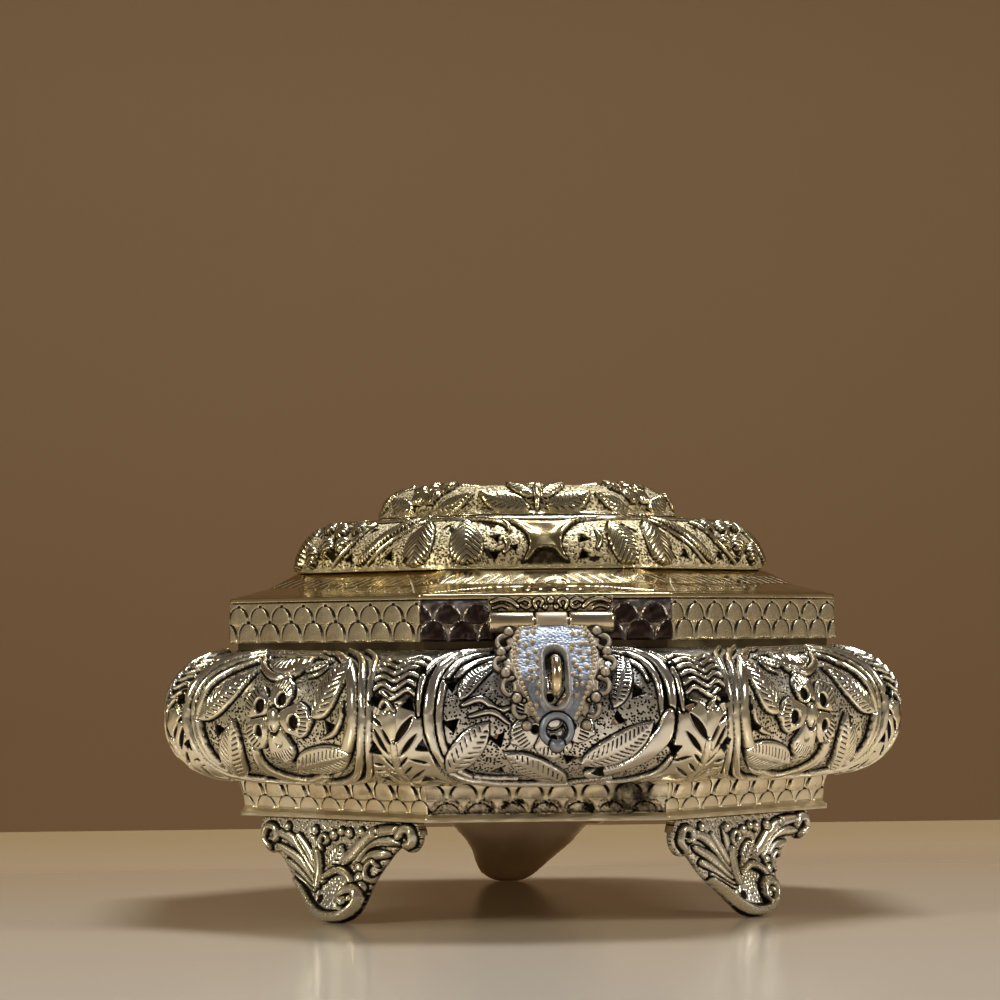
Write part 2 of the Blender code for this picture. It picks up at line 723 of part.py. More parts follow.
leaf_inner = box_axis_y + rim_apothem + touch_gap
leaf_outer = leaf_inner + rear_leaf_sheet
lid_leaf = block(
    "rear_hinge_lid_leaf",
    (-rear_half_span, leaf_inner, rear_leaf_bottom),
    (rear_half_span, leaf_outer, rear_leaf_top),
    warm_gold,
    worn,
)
for number, direction in enumerate((-1, 1)):
    shift = direction * (rear_knuckle + touch_gap)
    centre = rear_middle + hinge_axis * shift
    knuckle = tube("lid_knuckle" + str(number), centre, hinge_axis, rear_knuckle / 2, rear_barrel_radius, rear_bore,
                   hinge_steps, warm_gold, worn)
    web = block(
        "lid_knuckle_web" + str(number),
        (shift - rear_knuckle / 2, leaf_inner, rear_axis_height + rear_bore),
        (shift + rear_knuckle / 2, leaf_outer + rear_bore, rear_leaf_bottom + rear_leaf_sheet),
        warm_gold,
        worn,
    )
    boolean(web, helper(bead("lid_web_bore" + str(number), centre, hinge_axis,
                             ((-rear_knuckle, rear_bore), (rear_knuckle, rear_bore)),
                             hinge_steps, dark_brown, dull)), "DIFFERENCE")
    boolean(lid_leaf, web, "UNION")
    boolean(lid_leaf, knuckle, "UNION")

# The box leaf lies on the wall's sloping top
leaf_slope = wall_profile[1][1] - wall_profile[0][1]
leaf_run = wall_profile[1][0] - wall_profile[0][0]
leaf_line = [
    (wall_profile[0][0] + wall_sheet, wall_profile[0][1] + leaf_slope / leaf_run * wall_sheet),
    (wall_profile[1][0], wall_profile[1][1]),
    (wall_profile[2][0], wall_profile[2][1]),
]
leaf_rings = []
for direction in (-1, 1):
    edge = []
    for apothem, height in leaf_line:
        edge.append(axis_point + Vector((direction * rear_knuckle * 3 / 2, apothem, height + touch_gap * 3 / 2)))
    for apothem, height in leaf_line[::-1]:
        edge.append(axis_point + Vector((direction * rear_knuckle * 3 / 2, apothem + touch_gap,
                                         height + touch_gap * 3 / 2 + rear_leaf_sheet)))
    leaf_rings.append(edge)
box_leaf = loft("rear_hinge_box_leaf", leaf_rings, warm_gold, worn)
box_knuckle = tube("box_knuckle", rear_middle, hinge_axis, rear_knuckle / 2, rear_barrel_radius, rear_bore,
                   hinge_steps, warm_gold, worn)
web_top = rear_axis_height - rear_bore
box_web = block(
    "box_knuckle_web",
    (-rear_knuckle / 2, box_axis_y + rear_axis_reach - rear_bore, wall_profile[1][1] + rear_leaf_sheet),
    (rear_knuckle / 2, box_axis_y + rear_axis_reach + rear_bore, rear_axis_height),
    warm_gold,
    worn,
)
boolean(box_web, helper(bead("box_web_bore", rear_middle, hinge_axis,
                             ((-rear_knuckle, rear_bore), (rear_knuckle, rear_bore)), hinge_steps, dark_brown,
                             dull)), "DIFFERENCE")
boolean(box_leaf, box_web, "UNION")
boolean(box_leaf, box_knuckle, "UNION")
bead(
    "rear_hinge_pin",
    rear_middle,
    hinge_axis,
    ((-rear_half_span, rear_pin_radius), (rear_half_span, rear_pin_radius)),
    hinge_steps,
    plain_bronze,
    worn,
)

# The hasp: a leaf on the rim, a pin, and the pierced shield that swings on it
hasp_x = 0.0010
hasp_barrel_radius = 0.0024
hasp_axis_reach = rim_apothem + hasp_barrel_radius + touch_gap * 4 / 3
hasp_axis_height = rim_bottom + hasp_barrel_radius * 9 / 5
hasp_bore = 0.0013
hasp_pin_radius = 0.0010
hasp_knuckle_half = 0.0037
hasp_half_span = 0.0145
hasp_leaf_sheet = 0.0009
hasp_middle = axis_point + Vector((hasp_x, -hasp_axis_reach, hasp_axis_height))
hasp_leaf_back = box_axis_y - rim_apothem - touch_gap
hasp_leaf_front = hasp_leaf_back - hasp_leaf_sheet
hasp_leaf_bottom = hasp_axis_height + hasp_barrel_radius + touch_gap * 2
hasp_leaf = block(
    "hasp_lid_leaf",
    (hasp_x - hasp_half_span, hasp_leaf_front, hasp_leaf_bottom),
    (hasp_x + hasp_half_span, hasp_leaf_back, rim_top),
    warm_gold,
    worn,
)
outer_half = (hasp_half_span - hasp_knuckle_half - touch_gap) / 2
for number, direction in enumerate((-1, 1)):
    shift = direction * (hasp_half_span - outer_half)
    centre = hasp_middle + hinge_axis * shift
    knuckle = tube("hasp_outer_knuckle" + str(number), centre, hinge_axis, outer_half, hasp_barrel_radius, hasp_bore,
                   hinge_steps, warm_gold, worn)
    web = block(
        "hasp_web" + str(number),
        (hasp_x + shift - outer_half, hasp_leaf_front - hasp_bore, hasp_axis_height + hasp_bore),
        (hasp_x + shift + outer_half, hasp_leaf_back, hasp_leaf_bottom + hasp_leaf_sheet),
        warm_gold,
        worn,
    )
    boolean(web, helper(bead("hasp_web_bore" + str(number), centre, hinge_axis,
                             ((-hasp_half_span, hasp_bore), (hasp_half_span, hasp_bore)), hinge_steps, dark_brown,
                             dull)), "DIFFERENCE")
    boolean(hasp_leaf, web, "UNION")
    boolean(hasp_leaf, knuckle, "UNION")
bead(
    "hasp_pin",
    hasp_middle,
    hinge_axis,
    ((-hasp_half_span, hasp_pin_radius), (hasp_half_span, hasp_pin_radius)),
    hinge_steps,
    plain_bronze,
    worn,
)

# The shield is drawn flat, in shares of its half width and its drop below the pin, then bent over the belly
shield_half_width = 0.0108
shield_drop = 0.0290
shield_sheet = 0.0017
shield_outline_shares = (
    (0.36, 0.03), (0.38, 0.092), (0.85, 0.09), (1.0, 0.16), (1.02, 0.24), (0.98, 0.36), (0.87, 0.48), (0.70, 0.59),
    (0.55, 0.69), (0.42, 0.79), (0.22, 0.85),
)
slot_half_width = 0.0022
slot_top_share = 0.235
slot_bottom_share = 0.665
scroll_shares = ((1.06, 0.165), (1.08, 0.325), (0.95, 0.49), (0.74, 0.65))
scroll_radius = 0.0024
scroll_eye = 0.0012
bottom_ring_share = 0.865
bottom_ring_radius = 0.0040
bottom_ring_eye = 0.0024
knob_radius = 0.0017
corner_ball_shares = (0.93, 0.118)
corner_ball_radius = 0.0014
ring_steps = 10


def shield_height(share):
    return hasp_axis_height - share * shield_drop


def flat_prism(name, outline, front, back):
    """A prism from an outline of (sideways, height) points, along Y."""
    rings = [[Vector((x, front, z)) for x, z in outline], [Vector((x, back, z)) for x, z in outline]]
    return loft(name, rings, pale_gold, worn)


right_side = [(x * shield_half_width, shield_height(z)) for x, z in shield_outline_shares]
left_side = [(-x, z) for x, z in reversed(right_side)]
half_sheet = shield_sheet / 2
shield = flat_prism("hasp_shield", right_side + left_side, -half_sheet, half_sheet)
scroll_cutters = []
for direction in (-1, 1):
    for number, (across, drop) in enumerate(scroll_shares):
        middle = (direction * across * shield_half_width, shield_height(drop))
        tag = str(number) + ("l" if direction < 0 else "r")
        boolean(shield, flat_prism("scroll" + tag, disc_points(*middle, scroll_radius, ring_steps),
                                   -half_sheet * 0.9, half_sheet * 0.9), "UNION")
        scroll_cutters.append(flat_prism("scroll_eye" + tag, disc_points(*middle, scroll_eye, ring_steps),
                                         -shield_sheet, shield_sheet))
    ball = (direction * corner_ball_shares[0] * shield_half_width, shield_height(corner_ball_shares[1]))
    boolean(shield, flat_prism("corner_ball" + str(direction), disc_points(*ball, corner_ball_radius, ring_steps),
                               -half_sheet * 1.3, half_sheet * 1.1), "UNION")
ring_middle = (0, shield_height(bottom_ring_share))
boolean(shield, flat_prism("bottom_ring", disc_points(*ring_middle, bottom_ring_radius, ring_steps),
                           -half_sheet * 1.1, half_sheet * 0.8), "UNION")
for cutter in scroll_cutters:
    boolean(shield, cutter, "DIFFERENCE")
boolean(shield, flat_prism("bottom_eye", disc_points(*ring_middle, bottom_ring_eye, ring_steps),
                           -shield_sheet, shield_sheet), "DIFFERENCE")
knob_middle = (0, ring_middle[1] - bottom_ring_radius + knob_radius / 2)
boolean(shield, flat_prism("bottom_knob", disc_points(*knob_middle, knob_radius, ring_steps),
                           -half_sheet * 1.7, half_sheet * 0.7), "UNION")
slot_middle_top = shield_height(slot_top_share) - slot_half_width
slot_middle_bottom = shield_height(slot_bottom_share) + slot_half_width
slot_steps = 6


def slot_points(half_width):
    points = []
    for step in range(slot_steps + 1):
        angle = math.pi * step / slot_steps
        points.append((half_width * math.cos(angle), slot_middle_top + half_width * math.sin(angle)))
    for step in range(slot_steps + 1):
        angle = math.pi + math.pi * step / slot_steps
        points.append((half_width * math.cos(angle), slot_middle_bottom + half_width * math.sin(angle)))
    return points


bezel_width = 0.0009
boolean(shield, flat_prism("slot_bezel", slot_points(slot_half_width + bezel_width),
                           -half_sheet * 1.8, half_sheet * 0.7), "UNION")
boolean(shield, flat_prism("slot_cut", slot_points(slot_half_width), -shield_sheet * 2, shield_sheet * 2),
        "DIFFERENCE")

# Bending: the shield's middle sheet follows this line of reach and height over the belly
shield_standoff = 0.0019
bend_start_shares = ((0.58, -0.42), (1.92, -1.58))
bend_line = [
    (hasp_axis_reach + across * hasp_barrel_radius, hasp_axis_height + rise * hasp_barrel_radius)
    for across, rise in bend_start_shares
]
belly_index = max(range(len(wall_profile)), key=lambda index: wall_profile[index][0])
for index in range(belly_index - 3, belly_index + 1):
    before, after = wall_profile[index - 1], wall_profile[index + 1]
    run = Vector((after[0] - before[0], after[1] - before[1])).normalized()
    bend_line.append((wall_profile[index][0] - run.y * shield_standoff,
                      wall_profile[index][1] + run.x * shield_standoff))
bend_line.append((bend_line[-1][0], hasp_axis_height - shield_drop * 6 / 5))


def bend_spot(height):
    clamped = min(max(height, bend_line[-1][1]), bend_line[0][1])
    for here, there in zip(bend_line, bend_line[1:]):
        if clamped >= there[1]:
            share = (here[1] - clamped) / (here[1] - there[1])
            return here[0] + (there[0] - here[0]) * share
    return bend_line[-1][0]


def bend_normal(height):
    """Blends the line's slopes, so that the sheet keeps one thickness round each bend."""
    span = shield_drop / 8
    rise = bend_spot(height - span) - bend_spot(height + span)
    reach_way = 2 * span
    length = math.hypot(rise, reach_way)
    return reach_way / length, rise / length


bpy.context.view_layer.update()
flat_mesh = bpy.data.meshes.new_from_object(shield.evaluated_get(bpy.context.evaluated_depsgraph_get()))
for modifier in list(shield.modifiers):
    shield.modifiers.remove(modifier)
bent = bmesh.new()
bent.from_mesh(flat_mesh)
for _, height in bend_line[1:-1]:
    parts = list(bent.verts) + list(bent.edges) + list(bent.faces)
    bmesh.ops.bisect_plane(bent, geom=parts, plane_co=Vector((0, 0, height)), plane_no=up, dist=touch_gap / 100)
for vertex in bent.verts:
    height = vertex.co.z
    out_share, up_share = bend_normal(height)
    depth = -vertex.co.y
    reach = bend_spot(height) + out_share * depth
    vertex.co = axis_point + Vector((hasp_x + vertex.co.x, -reach, height + up_share * depth))
bmesh.ops.recalc_face_normals(bent, faces=bent.faces)
bent.to_mesh(shield.data)
bent.free()
shield_knuckle = tube("shield_knuckle", hasp_middle, hinge_axis, hasp_knuckle_half, hasp_barrel_radius, hasp_bore,
                      hinge_steps, pale_gold, worn)
boolean(shield, bead("shield_bore", hasp_middle, hinge_axis,
                     ((-hasp_half_span, hasp_bore + touch_gap), (hasp_half_span, hasp_bore + touch_gap)),
                     hinge_steps, dark_brown, dull), "DIFFERENCE")
boolean(shield, shield_knuckle, "UNION")

# The staple: a loop on the front panel that stands through the shield's slot
staple_bar = 0.0011
staple_out = 0.0003
staple_height_shares = (0.92, 0.666)
staple_top = wall_bottom + wall_height * staple_height_shares[0]
staple_bottom = wall_bottom + wall_height * staple_height_shares[1]
staple_reach = belly_apothem + staple_out
staple_steps = 10
staple_bar_steps = 8
staple_bend = (staple_top - staple_bottom) / 2
staple_root_top = wall_reach(staple_top - staple_bar) + touch_gap
staple_root_bottom = wall_reach(staple_bottom - staple_bar) + touch_gap
path = [Vector((0, -staple_root_top, staple_top))]
for step in range(staple_steps + 1):
    angle = math.pi / 2 - math.pi * step / staple_steps
    path.append(Vector((0, -staple_reach - staple_bend * math.cos(angle),
                        staple_bottom + staple_bend + staple_bend * math.sin(angle))))
path.append(Vector((0, -staple_root_bottom, staple_bottom)))
staple_rings = []
for index, point in enumerate(path):
    before = path[max(index - 1, 0)]
    after = path[min(index + 1, len(path) - 1)]
    run = (after - before).normalized()
    first = Vector((1, 0, 0))
    second = run.cross(first)
    ring = []
    for step in range(staple_bar_steps):
        angle = math.tau * step / staple_bar_steps
        spoke = first * math.cos(angle) + second * math.sin(angle)
        ring.append(axis_point + Vector((hasp_x, 0, 0)) + point + spoke * staple_bar)
    staple_rings.append(ring)
staple = loft("staple", staple_rings, pale_gold, polished)
shade_round(staple)

# Moving pieces keep their origin on the axis they turn about
for names, pivot in (
    (("lid_shoulder", "lid_dome", "lid_platform", "rear_hinge_lid_leaf"), rear_middle),
    (tuple("rim_" + facet_name for facet_name in facet_names), rear_middle),
    (("hasp_lid_leaf", "hasp_pin"), rear_middle),
    (("hasp_shield",), hasp_middle),
):
    for name in names:
        moving = bpy.data.objects[name]
        moving.data.transform(Matrix.Translation(-pivot))
        moving.location = pivot
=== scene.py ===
# %% [markdown]
# # An octagonal pierced brass casket
# The real box is a small jewellery casket of cast brass. Eight bulging panels are cast with leaves and
# flowers, punched with three-sided holes and blackened in their hollows. A hinged lid with a raised dome
# closes it, a hasp drops over a staple, and three cast legs carry it. Here every casting gets its relief
# as real geometry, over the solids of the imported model.

import copy
import math

import bmesh
import bpy
import numpy as np
from mathutils import Matrix, Vector


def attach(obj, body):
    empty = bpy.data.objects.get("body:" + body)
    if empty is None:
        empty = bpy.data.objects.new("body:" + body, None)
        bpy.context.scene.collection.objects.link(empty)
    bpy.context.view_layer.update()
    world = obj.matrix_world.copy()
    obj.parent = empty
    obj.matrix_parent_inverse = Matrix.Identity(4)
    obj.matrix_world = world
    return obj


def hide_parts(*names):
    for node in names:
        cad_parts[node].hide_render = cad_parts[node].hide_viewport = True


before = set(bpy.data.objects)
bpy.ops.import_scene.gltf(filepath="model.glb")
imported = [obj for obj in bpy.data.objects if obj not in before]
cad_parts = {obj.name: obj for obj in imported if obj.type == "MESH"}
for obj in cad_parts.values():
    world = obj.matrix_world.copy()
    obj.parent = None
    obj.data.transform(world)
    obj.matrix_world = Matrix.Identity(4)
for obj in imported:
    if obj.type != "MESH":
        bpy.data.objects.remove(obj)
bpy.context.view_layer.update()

# %% [markdown]
# ## The octagon
# Every band of the box is the same octagon at another distance from one upright axis: four wide sides, and
# four slanting ones between them. It could be drawn corner by corner, but then each band would need
# corners of its own. Here a facet's place is told by how far it stands out, and a point's place by how far
# it lies to the right of the facet's middle, so that one function serves the wall, the rim and the dome.
# Lengths in this file are millimetres, and turn to metres when a mesh is made.

# %% Facets of the octagon
mm = 0.001
facet_names = ("front", "front_right", "right", "back_right", "back", "back_left", "left", "front_left")
facet_turn = math.tau / 8
fold_slope = math.tan(facet_turn / 2)
rim_reach, rim_half_width, box_axis_y = 74.8, 29.3, 3.5


def facet_size(facet, reach, regular=False):
    """Distance of a facet from the axis and its half width, where the front facet stands at this reach."""
    if regular:
        return reach, reach * fold_slope
    front_half = rim_half_width + (reach - rim_reach) * fold_slope
    if facet % 2 == 0:
        return reach, front_half
    return (reach + front_half) / math.sqrt(2), (reach - front_half) / math.sqrt(2)


print("sides at the rim:", [round(2 * facet_size(facet, rim_reach)[1], 1) for facet in (0, 1)], "mm")

# %% [markdown]
# ## Smooth lines
# The cords, the leaves and the box's own bulge follow curves that a carver draws by eye through a few
# places. A curve object could do that, but the strokes further on need to measure how far a point lies
# from a line. So a small function lays a curve through given points, and spaces its own points evenly.

# %% Smooth lines
steps_between = 12


def smooth_line(points, count):
    """Evenly spaced points on a smooth curve through a few given ones."""
    points = np.array(points, float)
    ends = np.vstack([2 * points[0] - points[1], points, 2 * points[-1] - points[-2]])
    share = np.linspace(0, 1, steps_between, endpoint=False)[:, None]
    parts = []
    for a, b, c, d in zip(ends, ends[1:], ends[2:], ends[3:]):
        parts.append((2 * b + (c - a) * share + (2 * a - 5 * b + 4 * c - d) * share**2
                      + (3 * b - a - 3 * c + d) * share**3) / 2)
    line = np.vstack(parts + [points[-1:]])
    far = np.concatenate([[0], np.cumsum(np.linalg.norm(np.diff(line, axis=0), axis=1))])
    even = np.linspace(0, far[-1], count)
    return np.column_stack([np.interp(even, far, line[:, k]) for k in range(line.shape[1])])


print("three places on an arch, as five:", smooth_line([(0, 0), (2, 1), (4, 0)], 5).round(2).tolist())

# %% [markdown]
# ## A side line
# Seen from the side, a band of the box is one line, from its top edge down: the wall bulges, the rim is
# upright, and the shoulder slopes. A lathe tool or a screw modifier would carry such a line round a circle.
# This box has flat sides, so the line is kept as (reach, height) points with a length along it, and each
# facet asks it where its surface is at a distance down.

# %% Side line
side_line_points = 300


class SideLine:
    """A band's side line, from its top edge down, with the direction that faces outward."""

    def __init__(self, points, smooth=True):
        line = smooth_line(points, side_line_points) if smooth else np.array(points, float)
        self.far = np.concatenate([[0], np.cumsum(np.linalg.norm(np.diff(line, axis=0), axis=1))])
        self.length = self.far[-1]
        run = np.gradient(line, axis=0)
        run /= np.linalg.norm(run, axis=1)[:, None]
        self.table = np.column_stack([line, -run[:, 1], run[:, 0]])

    def at(self, down):
        return [np.interp(down, self.far, column) for column in self.table.T]


print("a slope 3 mm out and 4 mm down:", SideLine([(70, 4), (73, 0)], smooth=False).length, "mm long")

# %% [markdown]
# ## A facet's surface
# Where two facets meet, the real castings are softly rounded. A bevel modifier could round a finished
# mesh, but it would tear the relief there. So the surface itself turns on a small radius near each fold.
# The dome's facets narrow towards its middle, and there the radius is a share of the reach.

# %% Facet surface
least_turn = 1e-4


def facet_surface(facet, side_line, fold_radius, regular=False):
    """A function from (across, down) to places on a facet and the directions that face outward there."""
    angle = facet * facet_turn - math.pi / 2

    def surface(across, down):
        reach, height, out, rise = side_line.at(down)
        stand, half = facet_size(facet, reach, regular)
        turn = fold_radius * reach + least_turn if regular else fold_radius
        rounded = turn * fold_slope
        over = np.clip(np.abs(across) - (half - rounded), 0, rounded) / rounded * facet_turn / 2
        side = np.sign(across)
        forward = stand - turn * (1 - np.cos(over))
        sideways = np.where(over > 0, side * (half - rounded + turn * np.sin(over)), across)
        spot = np.stack([forward * math.cos(angle) - sideways * math.sin(angle),
                         forward * math.sin(angle) + sideways * math.cos(angle) + box_axis_y, height], -1)
        facing = angle + side * over
        return spot, np.stack([np.cos(facing) * out, np.sin(facing) * out, rise], -1)

    return surface


def facet_grid(facet, side_line, cell, regular=False):
    """Across and down places over a whole facet, about one cell apart."""
    _, half = facet_size(facet, side_line.table[:, 0].max(), regular)
    rows = int(side_line.length / cell) + 1
    columns = int(2 * half / cell) + 1
    down = np.repeat(np.linspace(0, side_line.length, rows)[:, None], columns, axis=1)
    _, half_here = facet_size(facet, side_line.at(down)[0], regular)
    return np.linspace(-1, 1, columns)[None, :] * half_here, down


band = SideLine([(rim_reach, 10), (rim_reach, 0)], smooth=False)
print("rows and columns of a front band 10 mm high:", facet_grid(0, band, 1.0)[1].shape)

# %% [markdown]
# ## Swells and specks
# Cast metal is never quite even, and its ground is punched full of small dots. A noise texture can show
# both, but only as paint. Here they are numbers over a grid, so that they become true heights. A third
# function blurs a grid, which later tells how deep each place lies.

# %% Swells and specks
far_off = 9.0
wave_count = 9


def soften(field, cells):
    """A blurred copy of a grid, by three passes of a running mean."""
    width = 2 * cells + 1
    for axis in (0, 1):
        for _ in range(3):
            padded = np.concatenate([np.repeat(np.take(field, [0], axis), cells, axis), field,
                                     np.repeat(np.take(field, [-1], axis), cells, axis)], axis)
            total = np.cumsum(padded, axis)
            total = np.concatenate([np.zeros_like(np.take(total, [0], axis)), total], axis)
            start, end = range(field.shape[axis]), range(width, width + field.shape[axis])
            field = (np.take(total, end, axis) - np.take(total, start, axis)) / width
    return field


def waves(across, down, size, seed):
    """Slow random swells between about -1 and 1, for metal that was never quite even."""
    chance = np.random.default_rng(seed)
    total = np.zeros_like(across)
    for _ in range(wave_count):
        turn, start = chance.uniform(0, math.tau, 2)
        step = math.tau / (size * chance.uniform(0.7, 1.6))
        total += np.sin((across * math.cos(turn) + down * math.sin(turn)) * step + start)
    return total / 4


def speckles(across, down, size, seed):
    """Distance to the nearest of many scattered dots, in dots' spacing."""
    def chance(column, row, salt):
        value = np.sin(column * 127.1 + row * 311.7 + salt * 74.7 + seed) * 43758.5453
        return value - np.floor(value)

    x, y = across / size, down / size
    nearest = np.full(across.shape, far_off)
    for i in (-1, 0, 1):
        for j in (-1, 0, 1):
            column, row = np.floor(x) + i, np.floor(y) + j
            dot_x, dot_y = column + chance(column, row, 1), row + chance(column, row, 2)
            nearest = np.minimum(nearest, np.hypot(x - dot_x, y - dot_y))
    return nearest


print("from three places to the nearest speck:", speckles(np.arange(3.0), np.zeros(3), 1, 5).round(2))

# %% [markdown]
# ## The grid of a relief
# A caster's model is carved: cords and leaves stand up from a punched ground, and veins are cut into them.
# Sculpting with a mouse could do it, but a script can't repeat that. So a relief is a grid of heights, in
# millimetres across and down, and a stroke changes the heights near its own line. Each stroke also says
# where blackening stays, since dirt and patina hold in the cuts and along the edges.

# %% Grid of a relief
def skills(kind):
    return [name for name in vars(kind) if not name.startswith("_")]


class ReliefGrid:
    """Heights and blackening over a grid of (across, down) places, drawn stroke by stroke."""

    def __init__(self, across, down, low=-0.1):
        self.across, self.down = across, down
        self.height = np.zeros_like(across)
        self.black = np.zeros_like(across)
        self.tint = np.zeros_like(across)
        self.bare = np.ones(across.shape, bool)
        self.low = low

    def seen_from(self, middle, flip=1):
        """The same relief, measured across from another line, and mirrored where flip is -1."""
        other = copy.copy(self)
        other.across = (self.across - middle) * flip
        return other

    def near(self, low, high):
        """Grid places inside a rectangle."""
        return np.nonzero((self.across > low[0]) & (self.across < high[0])
                          & (self.down > low[1]) & (self.down < high[1]))

    def measure(self, line, margin):
        """Places near a line: their index, distance from it, share along it, and side of it."""
        line = np.asarray(line, float)
        near = self.near(line.min(0) - margin, line.max(0) + margin)
        x, y = self.across[near], self.down[near]
        away, share, side = np.full(x.shape, 1e9), np.zeros(x.shape), np.ones(x.shape)
        steps = np.diff(line, axis=0)
        lengths = np.hypot(*steps.T)
        gone = 0
        for (start_x, start_y), (step_x, step_y), length in zip(line, steps / lengths[:, None], lengths):
            along = np.clip((x - start_x) * step_x + (y - start_y) * step_y, 0, length)
            off_x, off_y = x - start_x - along * step_x, y - start_y - along * step_y
            gap = np.hypot(off_x, off_y)
            closer = gap < away
            away[closer] = gap[closer]
            share[closer] = (gone + along[closer]) / lengths.sum()
            side[closer] = np.where(step_x * off_y - step_y * off_x < 0, -1, 1)[closer]
            gone += length
        return near, away, share, side, lengths.sum()

    def lay(self, near, inside, level, away, half, line=0.42):
        """Puts a stroke's level down where it covers the grid, with a cut black line round it."""
        index = tuple(axis[inside] for axis in near)
        self.height[index] = level[inside]
        self.black[index] = np.clip((away - half)[inside] * 4 + 1, 0, 1) * 0.8
        self.bare[index] = False
        ring = ~inside & (away < half + line)
        index = tuple(axis[ring] for axis in near)
        shade = np.clip((half[ring] + line - away[ring]) / line * 2, 0, 1)
        sunk = self.height[index] * (1 - shade) + self.low * shade
        self.height[index] = np.minimum(self.height[index], sunk)
        self.black[index] = np.maximum(self.black[index], shade)


print("what a relief can do:", skills(ReliefGrid))

# %% [markdown]
# ## Cords and cuts
# Round cords frame the panels, and the graver and the chisel left lines and almond-shaped cuts. Cords
# could be bevelled curves laid on the wall, but they would stand on it like wire. Drawn into the grid they
# rise out of the same skin as everything else, as they do in one casting.

# %% Cords and cuts
class CordsAndCuts(ReliefGrid):
    """Strokes that follow a line."""

    def cord(self, points, width, height, thin=0.45, line=0.42):
        """A raised rounded cord that thins towards its ends."""
        near, away, share, _, _ = self.measure(smooth_line(points, 22), width / 2 + line)
        half = width / 2 * (thin + (1 - thin) * np.sin(math.pi * share) ** 0.6)
        level = height * (0.35 + 0.65 * np.sqrt(np.clip(1 - (away / half) ** 2, 0, 1)))
        self.lay(near, away < half, level, away, half, line)

    def groove(self, points, width, depth):
        """A cut line, black inside."""
        near, away, _, _, _ = self.measure(smooth_line(points, 14), width)
        cut = np.clip(1 - away / (width / 2), 0, 1)
        self.height[near] -= depth * cut
        self.black[near] = np.maximum(self.black[near], np.clip(cut * 2.5, 0, 1))

    def cut(self, base, tip, width, depth=0.6):
        """A black almond-shaped cut, as a chisel leaves it."""
        near, away, share, _, _ = self.measure(np.linspace(base, tip, 6), width)
        half = width / 2 * np.clip(np.sin(math.pi * share), 0.02, 1) ** 0.7
        sink = np.clip(1.4 * (1 - away / half), 0, 1)
        self.height[near] -= depth * sink
        self.black[near] = np.maximum(self.black[near], np.clip(sink * 3, 0, 1))


print("strokes along a line:", skills(CordsAndCuts))

# %% [markdown]
# ## Leaves and petals
# The leaves are full and domed, with two columns of short slanting veins, and those on the lid are ribbed
# from edge to edge. A petal is narrow at its base and round at its end. Each is a swelling round a middle
# line, so its width and its veins follow from the distance to that line and the share along it.

# %% Leaves and petals
class LeavesAndPetals(CordsAndCuts):
    """Broad shapes round a middle line, with veins."""

    def leaf(self, base, bend, tip, width, height=1.0, vein_gap=1.5, lean=0.8, full=2.6, line=0.38,
             belly=0.85, ribbed=False):
        """A full domed leaf with two columns of short slanting veins, or ribbed all over."""
        base, bend, tip = (np.array(point, float) for point in (base, bend, tip))
        share = np.linspace(0, 1, 16)[:, None]
        curve = base * (1 - share) ** 2 + 2 * bend * share * (1 - share) + tip * share**2
        near, away, share, side, length = self.measure(curve, width / 2 + line)
        half = width / 2 * np.clip(1 - np.abs(2 * share**belly - 1) ** full, 0.02, 1)
        inside = away < half
        across = away / half
        level = height * (0.4 + 0.6 * np.sqrt(np.clip(1 - across**2, 0, 1)))
        along = share * length - away * lean + (0 if ribbed else 0.35) * vein_gap * side
        vein = np.abs((along / vein_gap) % 1 - 0.5) * vein_gap
        if ribbed:
            cut = np.clip(1.2 - vein / (0.27 * vein_gap), 0, 1) * (across < 0.93)
        else:
            cut = np.clip(1.7 - vein / 0.17, 0, 1) * (across > 0.16) * (across < 0.74)
            cut = cut * (share > 0.1) * (share < 0.9)
        self.lay(near, inside, level - 0.3 * cut, away, half, line)
        index = tuple(axis[inside] for axis in near)
        deepest = 0.8 if ribbed else 1
        self.black[index] = np.maximum(self.black[index], np.clip(cut[inside] * 1.6, 0, deepest))

    def petal(self, base, tip, width, height=0.9, stripe=0.85, line=0.42):
        """A round-ended petal, striped towards its tip."""
        near, away, share, side, _ = self.measure(np.linspace(base, tip, 6), width / 2 + line)
        widest = 0.62
        round_end = np.sqrt(np.clip(1 - ((share - widest) / 0.39) ** 2, 0.001, 1))
        half = width / 2 * np.where(share < widest, 0.5 + 0.5 * share / widest, round_end)
        inside = away < half
        level = height * (0.45 + 0.55 * np.sqrt(np.clip(1 - (away / half) ** 2, 0, 1)))
        vein = np.abs(((side * away) / stripe / (0.55 + 0.45 * share)) % 1 - 0.5) * stripe
        cut = np.clip(1.5 - vein / 0.2, 0, 1) * (share > 0.64) * (share < 0.93) * (away < half * 0.8)
        self.lay(near, inside, level - 0.25 * cut, away, half, line)
        index = tuple(axis[inside] for axis in near)
        self.black[index] = np.maximum(self.black[index], np.clip(cut[inside] * 1.7, 0, 1))


print("broad strokes:", skills(LeavesAndPetals))

# %% [markdown]
# ## Bosses, pits and grounds
# Round bosses sit in the flowers, and pits pierce their petals. The ground between the ornament is sunk
# and punched with a small round punch. The pits and the dots are true hollows in the grid, so they catch
# the light from every side, which a bump texture would not.

